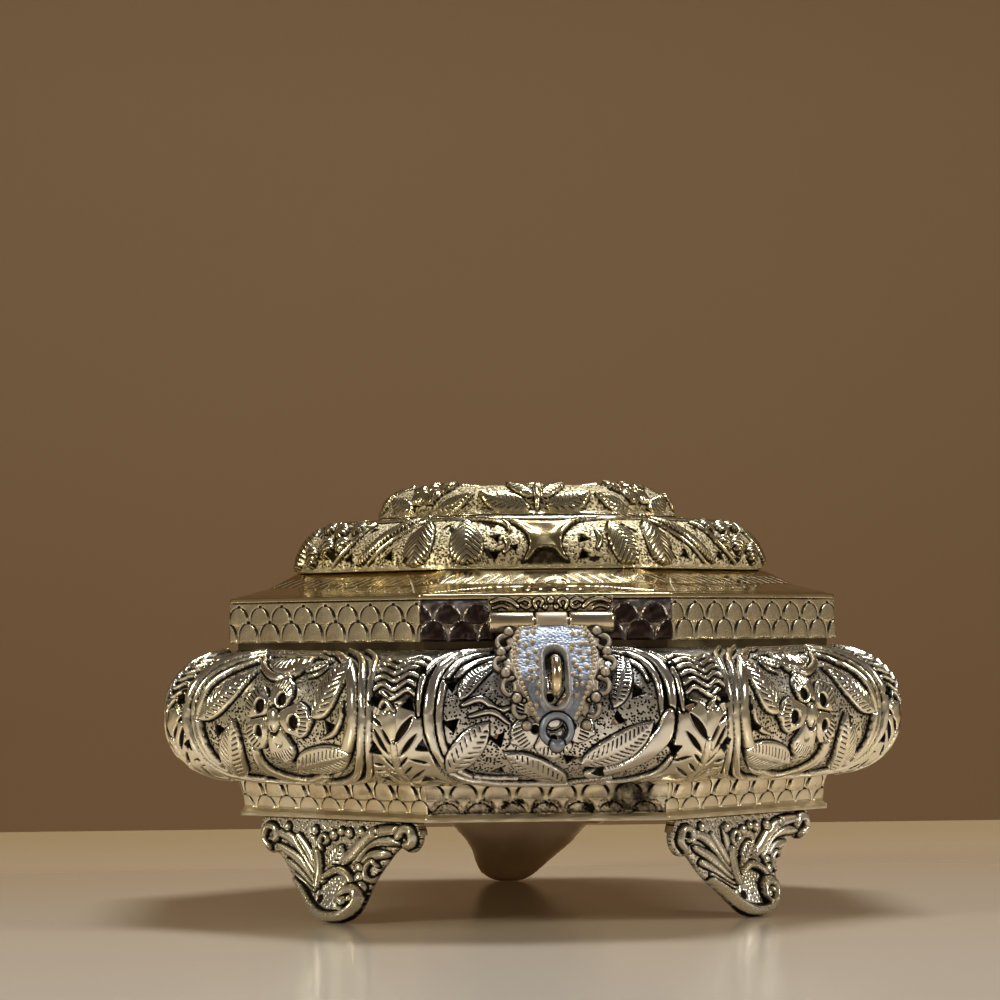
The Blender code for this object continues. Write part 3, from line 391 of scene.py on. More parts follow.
# %% Bosses, pits and grounds
class Relief(LeavesAndPetals):
    """All strokes of the box's castings."""

    def button(self, middle, radius, height, stretch=1.0, line=0.42):
        """A round or oval boss."""
        reach = np.array([1, stretch]) * (radius + line)
        near = self.near(np.array(middle) - reach, np.array(middle) + reach)
        away = np.hypot(self.across[near] - middle[0], (self.down[near] - middle[1]) / stretch)
        level = height * (0.3 + 0.7 * np.sqrt(np.clip(1 - (away / radius) ** 2, 0, 1)))
        self.lay(near, away < radius, level, away, np.full(away.shape, radius), line)

    def pit(self, middle, radius, depth=0.7, shade=1.0):
        """A small round hollow with a raised lip, black inside."""
        near = self.near(np.array(middle) - radius * 1.5, np.array(middle) + radius * 1.5)
        away = np.hypot(self.across[near] - middle[0], self.down[near] - middle[1]) / radius
        sink = np.clip(3 - away * 3, 0, 1)
        lip = np.exp(-((away - 1.12) / 0.14) ** 2)
        self.height[near] += 0.22 * lip * (depth > 0.5) - depth * sink
        self.black[near] = np.maximum(self.black[near] * (1 - lip), np.clip(sink * 2, 0, 1) * shade)

    def field(self, outline, level, shade, soft=0.8):
        """A raised or sunken field inside an outline, one tone of black all over."""
        outline = np.array(outline, float)
        near = self.near(outline.min(0), outline.max(0))
        away = outline_distance(self.across[near], self.down[near], outline)
        inside = away < 0
        index = tuple(axis[inside] for axis in near)
        self.height[index] = level * np.sqrt(1 - (1 - np.clip(-away[inside] / soft, 0, 1)) ** 2)
        self.black[index] = shade
        self.bare[index] = False

    def sink_ground(self, level, shade=0.0):
        """Lowers whatever is still bare."""
        self.height[self.bare] = np.minimum(self.height[self.bare], level)
        self.black[self.bare] = np.maximum(self.black[self.bare], shade)

    def stipple(self, size, depth, level, seed, shade=0.95):
        """Punched dots over whatever is still bare."""
        dots = speckles(self.across, self.down, size, seed)
        sink = np.clip(1 - dots / 0.34, 0, 1)
        self.height[self.bare] = (level - depth * sink)[self.bare]
        self.black[self.bare] = np.maximum(self.black, np.clip(sink * 1.5, 0, shade))[self.bare]


def try_drawing(draw, half, tall, *settings):
    """Draws an ornament on a coarse grid, and prints how deep and how high it goes."""
    relief = Relief(*np.meshgrid(np.arange(-half, half, 0.5), np.arange(0, tall, 0.5)))
    draw(relief, *settings)
    print(draw.__name__, "goes from", relief.height.min().round(2), "to", relief.height.max().round(2), "mm")


print("the other strokes:", skills(Relief))

# %% [markdown]
# ## Outlines and three-sided holes
# The wall and the dome are pierced with a three-sided punch, and the legs and the hasp's plate are sawn to
# an outline. Boolean cuts could make both, but they are slow and fragile on a fine relief. A distance that
# is negative inside does the same work on a grid: cells inside a hole are simply left out.

# %% Outlines and three-sided holes
punch_radius = 2.35


def outline_distance(across, down, line):
    """Distance outside a closed outline, negative within it."""
    line = np.array(line, float)
    away, turns = np.full(across.shape, 1e9), np.zeros(across.shape, bool)
    for (x1, y1), (x2, y2) in zip(line, np.roll(line, -1, axis=0)):
        length = math.hypot(x2 - x1, y2 - y1) + 1e-9
        along = np.clip(((across - x1) * (x2 - x1) + (down - y1) * (y2 - y1)) / length, 0, length)
        away = np.minimum(away, np.hypot(across - x1 - along * (x2 - x1) / length,
                                         down - y1 - along * (y2 - y1) / length))
        crossing = (x2 - x1) * (down - y1) / (y2 - y1 + 1e-12) + x1
        turns ^= ((y1 > down) != (y2 > down)) & (across < crossing)
    return np.where(turns, -away, away)


def three_sided(across, down, middle, radius, turn):
    """Distance outside a three-sided hole, negative within it."""
    x, y = across - middle[0], down - middle[1]
    away = np.full(across.shape, -far_off)
    for corner in range(3):
        angle = math.tau * (corner / 3 + turn) + math.pi
        away = np.maximum(away, x * math.cos(angle) - y * math.sin(angle) - radius / 2)
    return away


def punched_holes(punches):
    """Distance outside the nearest of some punched holes, given as middle, radius and turn."""
    def away(across, down):
        found = np.full(across.shape, far_off)
        for middle, radius, turn in punches:
            found = np.minimum(found, three_sided(across, down, middle, radius, turn))
        return found

    return away


away_from_hole = three_sided(np.array(3.0), np.array(0.0), (0, 0), punch_radius, 0)
print("from a place 3 mm off to a hole's edge:", away_from_hole.round(2), "mm")

# %% [markdown]
# ## Crisp holes and dark hollows
# A hole whose edge runs through grid cells would look stepped. A finer grid would cost millions of faces,
# so the corners of the grid near a hole are moved onto its edge. The deep places are found by comparing
# the relief with its own blur: what lies below its surroundings is where the black patina stays.

# %% Crisp holes and dark hollows
snap_share = 0.62


def snap_to_holes(across, down, holes, cell):
    """Moves grid corners that lie close to a hole's edge onto it."""
    if holes is None:
        return across, down
    away = holes(across, down)
    step = 0.02
    slope_x = (holes(across + step, down) - away) / step
    slope_y = (holes(across, down + step) - away) / step
    close = np.abs(away) < cell * snap_share
    close[[0, -1], :] = False
    close[:, [0, -1]] = False
    return np.where(close, across - away * slope_x, across), np.where(close, down - away * slope_y, down)


def hollow_shade(height, cell, reach=0.9, full=0.42):
    """How black the hollows are, from 0 on the crests to 1 deep down."""
    wide = soften(height, max(1, int(reach / cell / 2)))
    return np.clip((wide - height - 0.05) / full, 0, 1)


print("black in a groove 1 mm deep, of 1:", hollow_shade(-np.eye(9), 0.3).max().round(2))

# %% [markdown]
# ## From a relief to a closed casting
# The real pieces are castings about 1 mm thick, with a plain back. A solidify modifier could thicken the
# front, but it would carry the relief through to the back. So the shell is built directly: a front face
# with the relief, a plain back, and walls along its edges and round its holes. A flat chart of the faces
# goes with it, for whoever bakes the finish.

# %% Faces of a shell
def shell_faces(rows, columns, keep, ring):
    """Faces of front, back and edges between two grids, and how many of them are front or back."""
    index = np.arange(rows * columns).reshape(rows, columns)
    after = np.roll(index, -1, axis=1) if ring else index[:, 1:]
    here = index if ring else index[:, :-1]
    a, b, c, d = here[:-1], here[1:], after[1:], after[:-1]
    back_of = rows * columns
    faces = [np.stack([a, b, c, d], -1)[keep], np.stack([d, c, b, a], -1)[keep] + back_of]
    broad = len(faces[0]) * 2
    pad = np.pad(keep, 1)
    if ring:
        pad[1:-1, 0], pad[1:-1, -1] = keep[:, -1], keep[:, 0]
    edges = ((pad[:-2, 1:-1], a, d), (pad[2:, 1:-1], c, b), (pad[1:-1, :-2], b, a), (pad[1:-1, 2:], d, c))
    for beyond, first, second in edges:
        rim = keep & ~beyond
        start, end = first[rim], second[rim]
        faces.append(np.stack([start, end, end + back_of, start + back_of], -1))
    return np.concatenate(faces), broad


def shell_chart(rows, columns, keep, ring, edge_count):
    """A flat chart of a shell's faces: the front above, the back below it, and the edges in a corner."""
    cells = np.argwhere(keep)[:, None, :] + np.array([[0, 0], [1, 0], [1, 1], [0, 1]])
    row, column = cells[..., 0] / (rows - 1), cells[..., 1] / (columns if ring else columns - 1)
    front_chart = np.stack([0.01 + 0.98 * column, 0.99 - 0.74 * row], -1)
    back_chart = np.stack([0.01 + 0.98 * column, 0.22 - 0.2 * row], -1)[:, ::-1]
    edge_chart = np.tile([[0, 0], [0.004, 0], [0.004, 0.004], [0, 0.004]], (edge_count, 1, 1))
    return np.concatenate([front_chart, back_chart, edge_chart])


print("faces of a shell of 2 by 3 cells:", len(shell_faces(3, 4, np.ones((2, 3), bool), False)[0]))

# %% Mesh of a shell
def mark_points(mesh, mark, values):
    """Keeps a number for each point of a mesh, which a finish can read."""
    mesh.attributes.new(mark, "FLOAT", "POINT").data.foreach_set("value", np.asarray(values, np.float32))


def shell_mesh(name, front, back, keep, black, ring=False, behind=0.55, **marks):
    """A closed mesh between a front and a back grid, leaving out the cells that aren't kept."""
    rows, columns = front.shape[:2]
    faces, broad = shell_faces(rows, columns, keep, ring)
    used, flat = np.unique(faces, return_inverse=True)
    spots = np.concatenate([front.reshape(-1, 3), back.reshape(-1, 3)])[used] * mm
    mesh = bpy.data.meshes.new(name)
    mesh.vertices.add(len(spots))
    mesh.vertices.foreach_set("co", spots.astype(np.float32).ravel())
    mesh.loops.add(flat.size)
    mesh.loops.foreach_set("vertex_index", flat.ravel().astype(np.int32))
    mesh.polygons.add(len(faces))
    mesh.polygons.foreach_set("loop_start", np.arange(0, flat.size, 4, dtype=np.int32))
    mesh.polygons.foreach_set("use_smooth", np.arange(len(faces)) < broad)
    mesh.update(calc_edges=True)
    mark_points(mesh, "black", np.concatenate([black.ravel(), np.full(rows * columns, behind)])[used])
    for mark, grid in marks.items():
        mark_points(mesh, mark, np.concatenate([grid.ravel(), np.zeros(rows * columns)])[used])
    chart = shell_chart(rows, columns, keep, ring, len(faces) - broad)
    mesh.uv_layers.new(name="OFBake").data.foreach_set("uv", chart.astype(np.float32).ravel())
    return mesh


# %% [markdown]
# ## Pieces and bodies
# The lid turns on the rear hinge and the hasp on the lid, so every piece has to know its body. Parents set
# by hand would move it, so each piece is parented to an empty for its body without moving, and the CAD
# parts that it stands for are hidden.

# %% Add a piece to the scene
def add_piece(name, mesh, body, finish, stands_for=()):
    """Links a piece to the scene, with its finish and the CAD body that it moves with."""
    piece = bpy.data.objects.new(name, mesh)
    bpy.context.scene.collection.objects.link(piece)
    mesh.materials.clear()
    mesh.materials.append(finish)
    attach(piece, body)
    if stands_for:
        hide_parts(*stands_for)
    print(name, "for the", body + ":", len(mesh.polygons), "faces")
    return piece


# %% [markdown]
# ## Nodes in few words
# A finish is a small tree of shader nodes. Placing them one by one takes many lines that all look alike,
# so four helpers do it: each adds one node, fills its sockets with plain values or with what other nodes
# give, and hands back its own output.

# %% Nodes in few words
def node_output(tree, kind, output, sockets, **settings):
    """Adds a shader node and gives one of its outputs. A socket takes a value or another output."""
    node = tree.nodes.new("ShaderNode" + kind)
    for key, value in settings.items():
        setattr(node, key, value)
    for key, value in sockets.items():
        if isinstance(value, bpy.types.NodeSocket):
            tree.links.new(value, node.inputs[key])
        else:
            node.inputs[key].default_value = value
    return node.outputs[output]


def reckon(tree, operation, *values, **settings):
    """A sum, a product or the like."""
    return node_output(tree, "Math", "Value", dict(enumerate(values)), operation=operation, **settings)


def stretch(tree, value, low, high, to_low=0.0, to_high=1.0, way="LINEAR"):
    """A value stretched from one range to another, and held within it."""
    return node_output(tree, "MapRange", "Result", {
        "Value": value, "From Min": low, "From Max": high, "To Min": to_low, "To Max": to_high,
    }, interpolation_type=way)


def blend(tree, share, first, second):
    """A colour between two others, each plain or another node's."""
    first, second = ((*tone, 1) if isinstance(tone, tuple) else tone for tone in (first, second))
    return node_output(tree, "Mix", "Result", {0: share, "A": first, "B": second}, data_type="RGBA")


def new_material(name):
    """A material with its node tree and its shader."""
    material = bpy.data.materials.new(name)
    material.use_nodes = True
    return material, material.node_tree, material.node_tree.nodes["Principled BSDF"]


# %% [markdown]
# ## Finishes
# The brass is polished on its crests, and a black patina stays in its hollows. Photographs of brass would
# bring their own light with them, so the finish is reckoned: two tones of clean metal that drift into each
# other, the patina where the mesh says black, a rougher surface there, and a very fine unevenness, since a
# cast surface is never optically flat. The same recipe with other tones makes every metal of the box. In
# some places the mesh's black value also carries painted shade and painted light, and on the shoulder the
# tone it brings is lighter than the metal, a painted highlight.

# %% One recipe for metal
grain_size, grain_depth, dot_depth = 900, 0.00006, 0.0004


def metal_finish(name, clean, warm, patina_and_highlight_tone, rough=0.2, rough_black=0.55, grain=0.25, drift=90, tint=None,
                 dots=0, dot_shade=1.0, rough_ground=0.14, metallic=1.0):
    """A polished metal whose hollows, given by the mesh's black value, take a patina; in places that value is
    painted shade.
    """
    material, tree, shader = new_material(name)
    link = tree.links.new
    place = node_output(tree, "TexCoord", "Object", {})
    slow = node_output(tree, "TexNoise", "Fac", {"Vector": place, "Scale": drift, "Detail": 3.0})
    fine = node_output(tree, "TexNoise", "Fac", {"Vector": place, "Scale": grain_size, "Detail": 4.0,
                                                 "Roughness": 0.6})
    tone = blend(tree, stretch(tree, slow, 0.38, 0.64), clean, warm)
    if tint:
        tone = blend(tree, node_output(tree, "Attribute", "Fac", {}, attribute_name="tint"), tone, tint)
    ragged = reckon(tree, "MULTIPLY_ADD", fine, 0.5, -0.25)
    held = node_output(tree, "Attribute", "Fac", {}, attribute_name="black")
    black = reckon(tree, "ADD", held, ragged, use_clamp=True)
    grains = {"Strength": grain, "Distance": grain_depth, "Height": fine}
    if dots:
        ground = node_output(tree, "Attribute", "Fac", {}, attribute_name="ground")
        punched = node_output(tree, "TexVoronoi", "Distance", {"Vector": place, "Scale": dots})
        sunk = stretch(tree, punched, 0.50, 0.30, 0, dot_shade, "SMOOTHSTEP")
        dotted = reckon(tree, "MULTIPLY", ground, sunk)
        black = reckon(tree, "MAXIMUM", black, dotted)
        grains["Normal"] = node_output(tree, "Bump", "Normal", {"Strength": 0.9, "Distance": dot_depth,
                                                                "Height": dotted}, invert=True)
    edge = stretch(tree, black, 0.22, 0.80, way="SMOOTHSTEP")
    dullness = reckon(tree, "MULTIPLY_ADD", fine, 0.07, stretch(tree, edge, 0, 1, rough, rough_black))
    if dots:
        dullness = reckon(tree, "MULTIPLY_ADD", ground, rough_ground, dullness)
    link(blend(tree, edge, tone, patina_and_highlight_tone), shader.inputs["Base Color"])
    link(dullness, shader.inputs["Roughness"])
    link(node_output(tree, "Bump", "Normal", grains), shader.inputs["Normal"])
    shader.inputs["Metallic"].default_value = metallic
    return material


# %% [markdown]
# ## The box's metals
# The real castings differ in alloy and wear: pale on the belly, dull on the plinth, golden on the dome, grey
# on the hasp. One metal for all would look like paint, so each is mixed from the recipe with its own tones.

# %% The box's metals
black_patina = (0.022, 0.016, 0.012)
punch_marks = 1500
panel_metal = metal_finish("panel_metal", (0.95, 0.90, 0.77), (0.92, 0.84, 0.61), black_patina,
                           rough=0.13, tint=(0.90, 0.87, 0.82), dots=punch_marks)
plinth_metal = metal_finish("plinth_metal", (0.90, 0.82, 0.62), (0.74, 0.62, 0.41), black_patina,
                            rough=0.26, tint=(0.46, 0.38, 0.32))
rim_metal = metal_finish("rim_metal", (0.80, 0.70, 0.50), (0.68, 0.59, 0.40), black_patina, rough=0.24)
# The strip's tint is partly wear and partly a painted silver-blue sheen.
strip_metal = metal_finish("strip_metal", (0.12, 0.092, 0.09), (0.065, 0.040, 0.036), (0.40, 0.32, 0.21),
                           rough=0.2, rough_black=0.3, tint=(0.36, 0.36, 0.40))
# The shoulder's patina tone is lighter than its metal: its engraved strokes and hollows get a painted
# highlight.
shoulder_metal = metal_finish("shoulder_metal", (0.74, 0.61, 0.37), (0.62, 0.50, 0.29), (0.88, 0.78, 0.52),
                              rough=0.1, rough_black=0.3, grain=0.1)
# The dome's tint, a darker gold, is a painted reflection on the star.
dome_metal = metal_finish("dome_metal", (0.86, 0.75, 0.48), (0.80, 0.67, 0.40), (0.05, 0.034, 0.018),
                          rough=0.14, tint=(0.58, 0.45, 0.23), dots=punch_marks, dot_shade=0.7,
                          rough_ground=0.3)
leg_metal = metal_finish("leg_metal", (0.86, 0.83, 0.74), (0.78, 0.71, 0.54), black_patina, rough=0.24)
# A browner bronze for the rear leg, painted lighter than the legs in front: painted light for a leg in shade.
bronze_painted_light_metal = metal_finish("bronze_painted_light_metal", (0.90, 0.74, 0.53), (0.78, 0.61, 0.42), (0.34, 0.24, 0.15),
                            rough=0.45)
fitting_metal = metal_finish("fitting_metal", (0.82, 0.70, 0.48), (0.66, 0.55, 0.38), black_patina, rough=0.2)
staple_metal = metal_finish("staple_metal", (0.90, 0.76, 0.50), (0.84, 0.68, 0.40), black_patina, rough=0.16)
pin_metal = metal_finish("pin_metal", (0.62, 0.55, 0.42), (0.46, 0.38, 0.26), black_patina, rough=0.3)
inner_metal = metal_finish("inner_metal", (0.60, 0.48, 0.28), (0.48, 0.37, 0.21), black_patina, rough=0.42)
collar_metal = metal_finish("collar_metal", (0.20, 0.15, 0.085), (0.08, 0.058, 0.04), black_patina, rough=0.3)
shield_metal = metal_finish("shield_metal", (0.36, 0.41, 0.50), (0.26, 0.29, 0.35), black_patina,
                            rough=0.42, rough_black=0.6, grain=0.5, drift=400, tint=(0.52, 0.43, 0.31),
                            metallic=0.6)
print("finishes:", [material.name for material in bpy.data.materials if material.name.endswith("_metal")])

# %% [markdown]
# ## The bulging wall
# Each of the eight panels is one casting, from the mouth down over the belly. Even facets carry a
# wreath: two framing cords, a middle flower and broad leaves on a dotted ground. The slanting facets
# carry a larger flower between two curved frames. Round every fold runs a strip of zigzags over a spray
# of small leaves. The side line is drawn first, and then each ornament in a cell of its own.

# %% Side line of the wall
wall_line = SideLine([(73.5, 65.0), (77.96, 64.0), (82.25, 62.39), (85.8, 60.0), (88.35, 56.9),
                      (89.67, 53.4), (90, 49.7), (89.8, 46), (88.9, 42.6), (87, 39.4), (83.8, 36.6),
                      (79.3, 34.6), (73.5, 33.6)])
wall_cell = 0.24
print("side line of the wall:", round(wall_line.length, 1), "mm")

# %% [markdown]
# ## Where the wall is pierced
# The punch went through between the leaves, and never through one. Its places are kept as shares of a
# facet's half width and of the height, since the facets differ in width but carry like ornament. Each
# line tells a share across, a share down, a share of the punch's size, and how far it was turned.

# %% Holes of the wall
front_punches = (
    (-0.64, 0.338, 1.0, 0.1), (-0.638, 0.527, 1.0, 0.45), (-0.343, 0.597, 1.0, 0.8),
    (0.559, 0.381, 1.0, 0.3), (0.427, 0.507, 0.95, 0.6), (0.115, 0.703, 0.9, 0.05),
    (-0.331, 0.784, 0.85, 0.55), (0.312, 0.762, 0.85, 0.2), (0.89, 0.448, 0.9, 0.7),
    (-0.915, 0.436, 0.9, 0.2), (-0.831, 0.621, 0.85, 0.9), (0.79, 0.646, 0.9, 0.4),
    (-0.823, 0.267, 0.9, 0.5), (0.787, 0.242, 0.9, 0.0), (-0.79, 0.825, 0.85, 0.3),
)
corner_punches = (
    (-0.54, 0.56, 1.0, 0.35), (0.435, 0.538, 1.0, 0.7), (-0.26, 0.843, 0.8, 0.1), (0.843, 0.418, 1.0, 0.2),
    (0.812, 0.633, 0.95, 0.9), (-0.85, 0.418, 1.0, 0.6), (-0.81, 0.633, 0.95, 0.15),
    (0.746, 0.823, 0.85, 0.45), (0.3, 0.82, 0.8, 0.8),
)
widest_reach = 90


def wall_holes(facet):
    _, widest = facet_size(facet, widest_reach)
    return punched_holes([((share * widest, drop * wall_line.length), punch_radius * size, turn)
                          for share, drop, size, turn in (corner_punches if facet % 2 else front_punches)])


print("holes in a wide and in a slanting panel:", len(front_punches), len(corner_punches))

# %% [markdown]
# ## The strip round a fold
# Two castings meet at every fold, and the ornament hides the solder: seven ridges in zigzag, and below
# them a plant cut with a chisel. One drawing serves all folds, with the fold at 0 across, and each facet
# shows the half on its own side. The heights are raised first and the black cuts come last.

# %% Ornament of a fold
def fold_ornament(relief):
    """Zigzags over an engraved plant, with the fold at 0 and the slanting facet at negative across."""
    relief.field([(-10.5, 5), (-4, 2.5), (5.5, 2.5), (6.4, 21), (-9.6, 22.4)], -0.4, 0.6)
    relief.field([(-9.6, 23.4), (-5.4, 21.8), (-2.8, 24.0), (0.0, 22.6), (2.2, 21.2), (6.4, 22.6),
                  (7.4, 33), (9.5, 47), (9.5, 50), (-11.5, 50), (-11, 47), (-10, 36)], 0.6, 0)
    for ridge in ([(-9.8, 11.6), (-5.6, 8.6), (-1.6, 10.0), (2.6, 8.0), (5.4, 9.2)],
                  [(-9.8, 13.8), (-6.2, 10.7), (-1.9, 12.2), (1.6, 10.0), (5.4, 11.6)],
                  [(-10.0, 16.0), (-6.4, 12.9), (-1.7, 14.4), (1.8, 12.2), (5.4, 13.8)],
                  [(-9.4, 18.2), (-5.6, 15.1), (-1.3, 16.5), (2.0, 14.4), (5.3, 16.0)],
                  [(-8.9, 20.4), (-5.1, 17.3), (-1.0, 18.6), (1.9, 16.6), (4.9, 18.2)],
                  [(-7.4, 21.8), (-4.7, 19.4), (-1.5, 20.9), (2.1, 18.7), (4.6, 20.3)],
                  [(-5.4, 24.2), (-3.4, 21.2), (-0.4, 23.6)]):
        relief.cord(ridge, 0.95, 0.85, thin=0.8, line=0.35)
    relief.cord([(-0.9, 49), (-1.0, 43), (-1.3, 37), (-1.0, 31)], 2.2, 0.95, thin=0.6, line=0.1)
    for base, tip, width in (
        ((-6.8, 25.1), (-3.9, 27.0), 1.4), ((-6.6, 27.4), (-2.8, 33.7), 1.9),
        ((-4.0, 27.3), (-1.5, 31.4), 1.4), ((-0.7, 31.0), (4.0, 24.6), 2.6),
        ((0.2, 34.0), (4.8, 28.6), 1.7), ((-4.6, 34.0), (-1.9, 37.8), 1.2),
        ((-8.4, 36.2), (-4.9, 36.8), 1.4), ((-0.9, 37.2), (2.0, 34.2), 1.1),
        ((2.2, 34.8), (6.6, 36.2), 1.3), ((-0.6, 40.0), (2.4, 36.9), 1.2),
        ((-0.2, 43.0), (5.0, 37.9), 1.4), ((-8.4, 29.5), (-4.8, 33.6), 1.6),
        ((-8.9, 38.4), (-5.4, 38.7), 1.1), ((-5.0, 39.0), (-2.2, 44.4), 1.3),
        ((-3.0, 47.4), (-8.6, 44.6), 1.2), ((0.8, 47.2), (6.4, 44.4), 1.2),
        ((5.6, 40.6), (8.2, 44.8), 1.2), ((-7.4, 42.6), (-10.2, 46.0), 1.1),
    ):
        relief.cut(base, tip, width * 0.85)


try_drawing(fold_ornament, 12, 50)

# %% [markdown]
# ## The wreath
# On the wide sides two cords bend round a flower of six petals, and broad leaves fill the rest. The points
# were laid out from the middle of the facet and down from the mouth, as a carver squares up a drawing. The
# frames come first, then the flower, then its leaves, because a later stroke lies over an earlier one.

# %% Ornament of the wide facets
frame_line = 0.5


def wreath_ornament(relief):
    """The panel with the wreath, as on the front: frames, then the flower, then its leaves."""
    for points, width, height in (
        ([(-30.4, 24.6), (-30.0, 19.0), (-28.4, 13.8), (-25.4, 9.0), (-20.5, 4.6), (-13.5, 2.2)], 1.5, 0.8),
        ([(-13.0, 3.6), (-19.8, 6.4), (-25.0, 12.9), (-27.5, 20.0), (-28.1, 25.7), (-26.7, 31.3),
          (-23.2, 37.5), (-18.6, 43.0), (-11.5, 46.6), (-2, 47.6), (7, 47.2), (14, 44.8)], 2.6, 1.25),
        ([(-13.5, 6.4), (-19.6, 9.4), (-23.6, 15.2), (-25.4, 21.3), (-25.6, 27.4), (-24.2, 33.2),
          (-21.0, 38.6), (-16, 42.6)], 1.6, 0.95),
        ([(-12.4, 8.6), (-17.0, 10.8), (-20.6, 14.4), (-22.6, 17.2)], 1.2, 0.8),
        ([(-12.2, 10.4), (-16.0, 12.6), (-19.4, 15.8)], 1.0, 0.7),
        ([(30.2, 24.0), (29.2, 17.5), (26.6, 11.0), (22.0, 5.6), (14.0, 2.4)], 1.6, 0.8),
        ([(12.5, 3.2), (19.4, 4.9), (24.4, 10.2), (26.9, 16.6), (27.7, 21.6), (27.5, 26.6)], 2.3, 1.2),
        ([(11.5, 5.2), (16.3, 6.2), (20.8, 9.4), (23.8, 14.8), (25.0, 20.0), (25.2, 25.0)], 1.5, 0.95),
        ([(13.0, 7.6), (17.6, 9.6), (21.0, 13.4), (22.4, 17.0)], 1.0, 0.7),
        ([(27.9, 34.5), (24.2, 40.8), (16.0, 46.0), (8, 48.4)], 1.5, 0.8),
        ([(27.0, 24.6), (25.4, 29.8), (21.0, 33.9), (15.0, 37.6), (8.8, 40.6)], 4.8, 1.35),
    ):
        relief.cord(points, width, height, line=frame_line)
    middle = np.array([0.2, 25.6])
    for angle, length, width in (
        (205, 9.4, 7.0), (262, 9.0, 7.4), (325, 9.4, 7.0), (20, 9.6, 7.0), (150, 10.2, 7.4), (88, 9.0, 8.6),
    ):
        way = np.array([math.cos(math.radians(angle)), math.sin(math.radians(angle))])
        relief.petal(middle + way * 1.6, middle + way * length, width, height=0.95, stripe=1.0)
        relief.pit(middle + way * 4.6, 1.1)
    relief.button(middle, 2.6, 1.0)
    relief.leaf((14.2, 23.4), (17.2, 17.0), (17.0, 8.6), 4.8, vein_gap=0.95, lean=0.2)
    relief.leaf((-20.8, 21.2), (-18.4, 15.2), (-12.6, 12.0), 3.8, height=0.8, vein_gap=0.9, lean=0.3)
    relief.cord([(-20.4, 22.4), (-16.0, 21.0), (-12.4, 23.6), (-9.2, 23.0)], 1.5, 0.8, line=0.6)
    relief.cord([(-18.8, 25.0), (-13.6, 24.0), (-9.4, 26.8)], 1.2, 0.6, line=0.6)
    relief.leaf((3.9, 45.2), (-4.1, 37.4), (-10.8, 33.6), 7.0)
    relief.leaf((-23.6, 38.8), (-18.0, 30.4), (-14.2, 26.2), 6.8, vein_gap=1.6)
    relief.leaf((6.8, 36.4), (15.0, 34.4), (23.4, 26.4), 6.8, vein_gap=1.25)
    relief.leaf((4.4, 47.2), (9.5, 46.0), (14.5, 42.2), 2.8, height=0.8, vein_gap=1.1)
    relief.cord([(-17.4, 41.4), (-12.6, 42.6), (-7.4, 42.8)], 1.1, 0.7)


try_drawing(wreath_ornament, 32, 48)

# %% [markdown]
# ## The large flower
# The slanting sides carry one open flower with five petals, each pierced by a pit, inside a frame of cords
# that thicken and thin. From the top hangs a short leaf in a cord, which the side and rear panels carry
# too. The drawing is mirrored from one side of the box to the other.

# %% Leaf that hangs from the top
def hanging_leaf(relief):
    """A short broad leaf that hangs from the top of a panel in a curved cord."""
    relief.cord([(-12.2, 8.8), (-9.6, 12.2), (-5.0, 15.0), (-1.0, 15.8), (2.8, 14.6), (4.6, 11.4),
                 (3.4, 8.4)], 1.9, 1.1, thin=0.6, line=0.6)
    relief.field([(-10.4, 8.8), (-8.6, 11.4), (-4.8, 13.8), (-1.0, 14.6), (2.0, 13.6), (3.4, 11.2),
                  (2.4, 8.6), (-3.4, 7.8)], 0.7, 0)
    for stroke in range(-4, 4):
        x = -3.4 + stroke * 1.15
        relief.cut((x, 9.2), (x + 0.35 * (stroke + 1), 13.4 - 0.16 * (stroke + 1) ** 2), 0.75, 0.4)


try_drawing(hanging_leaf, 14, 18)

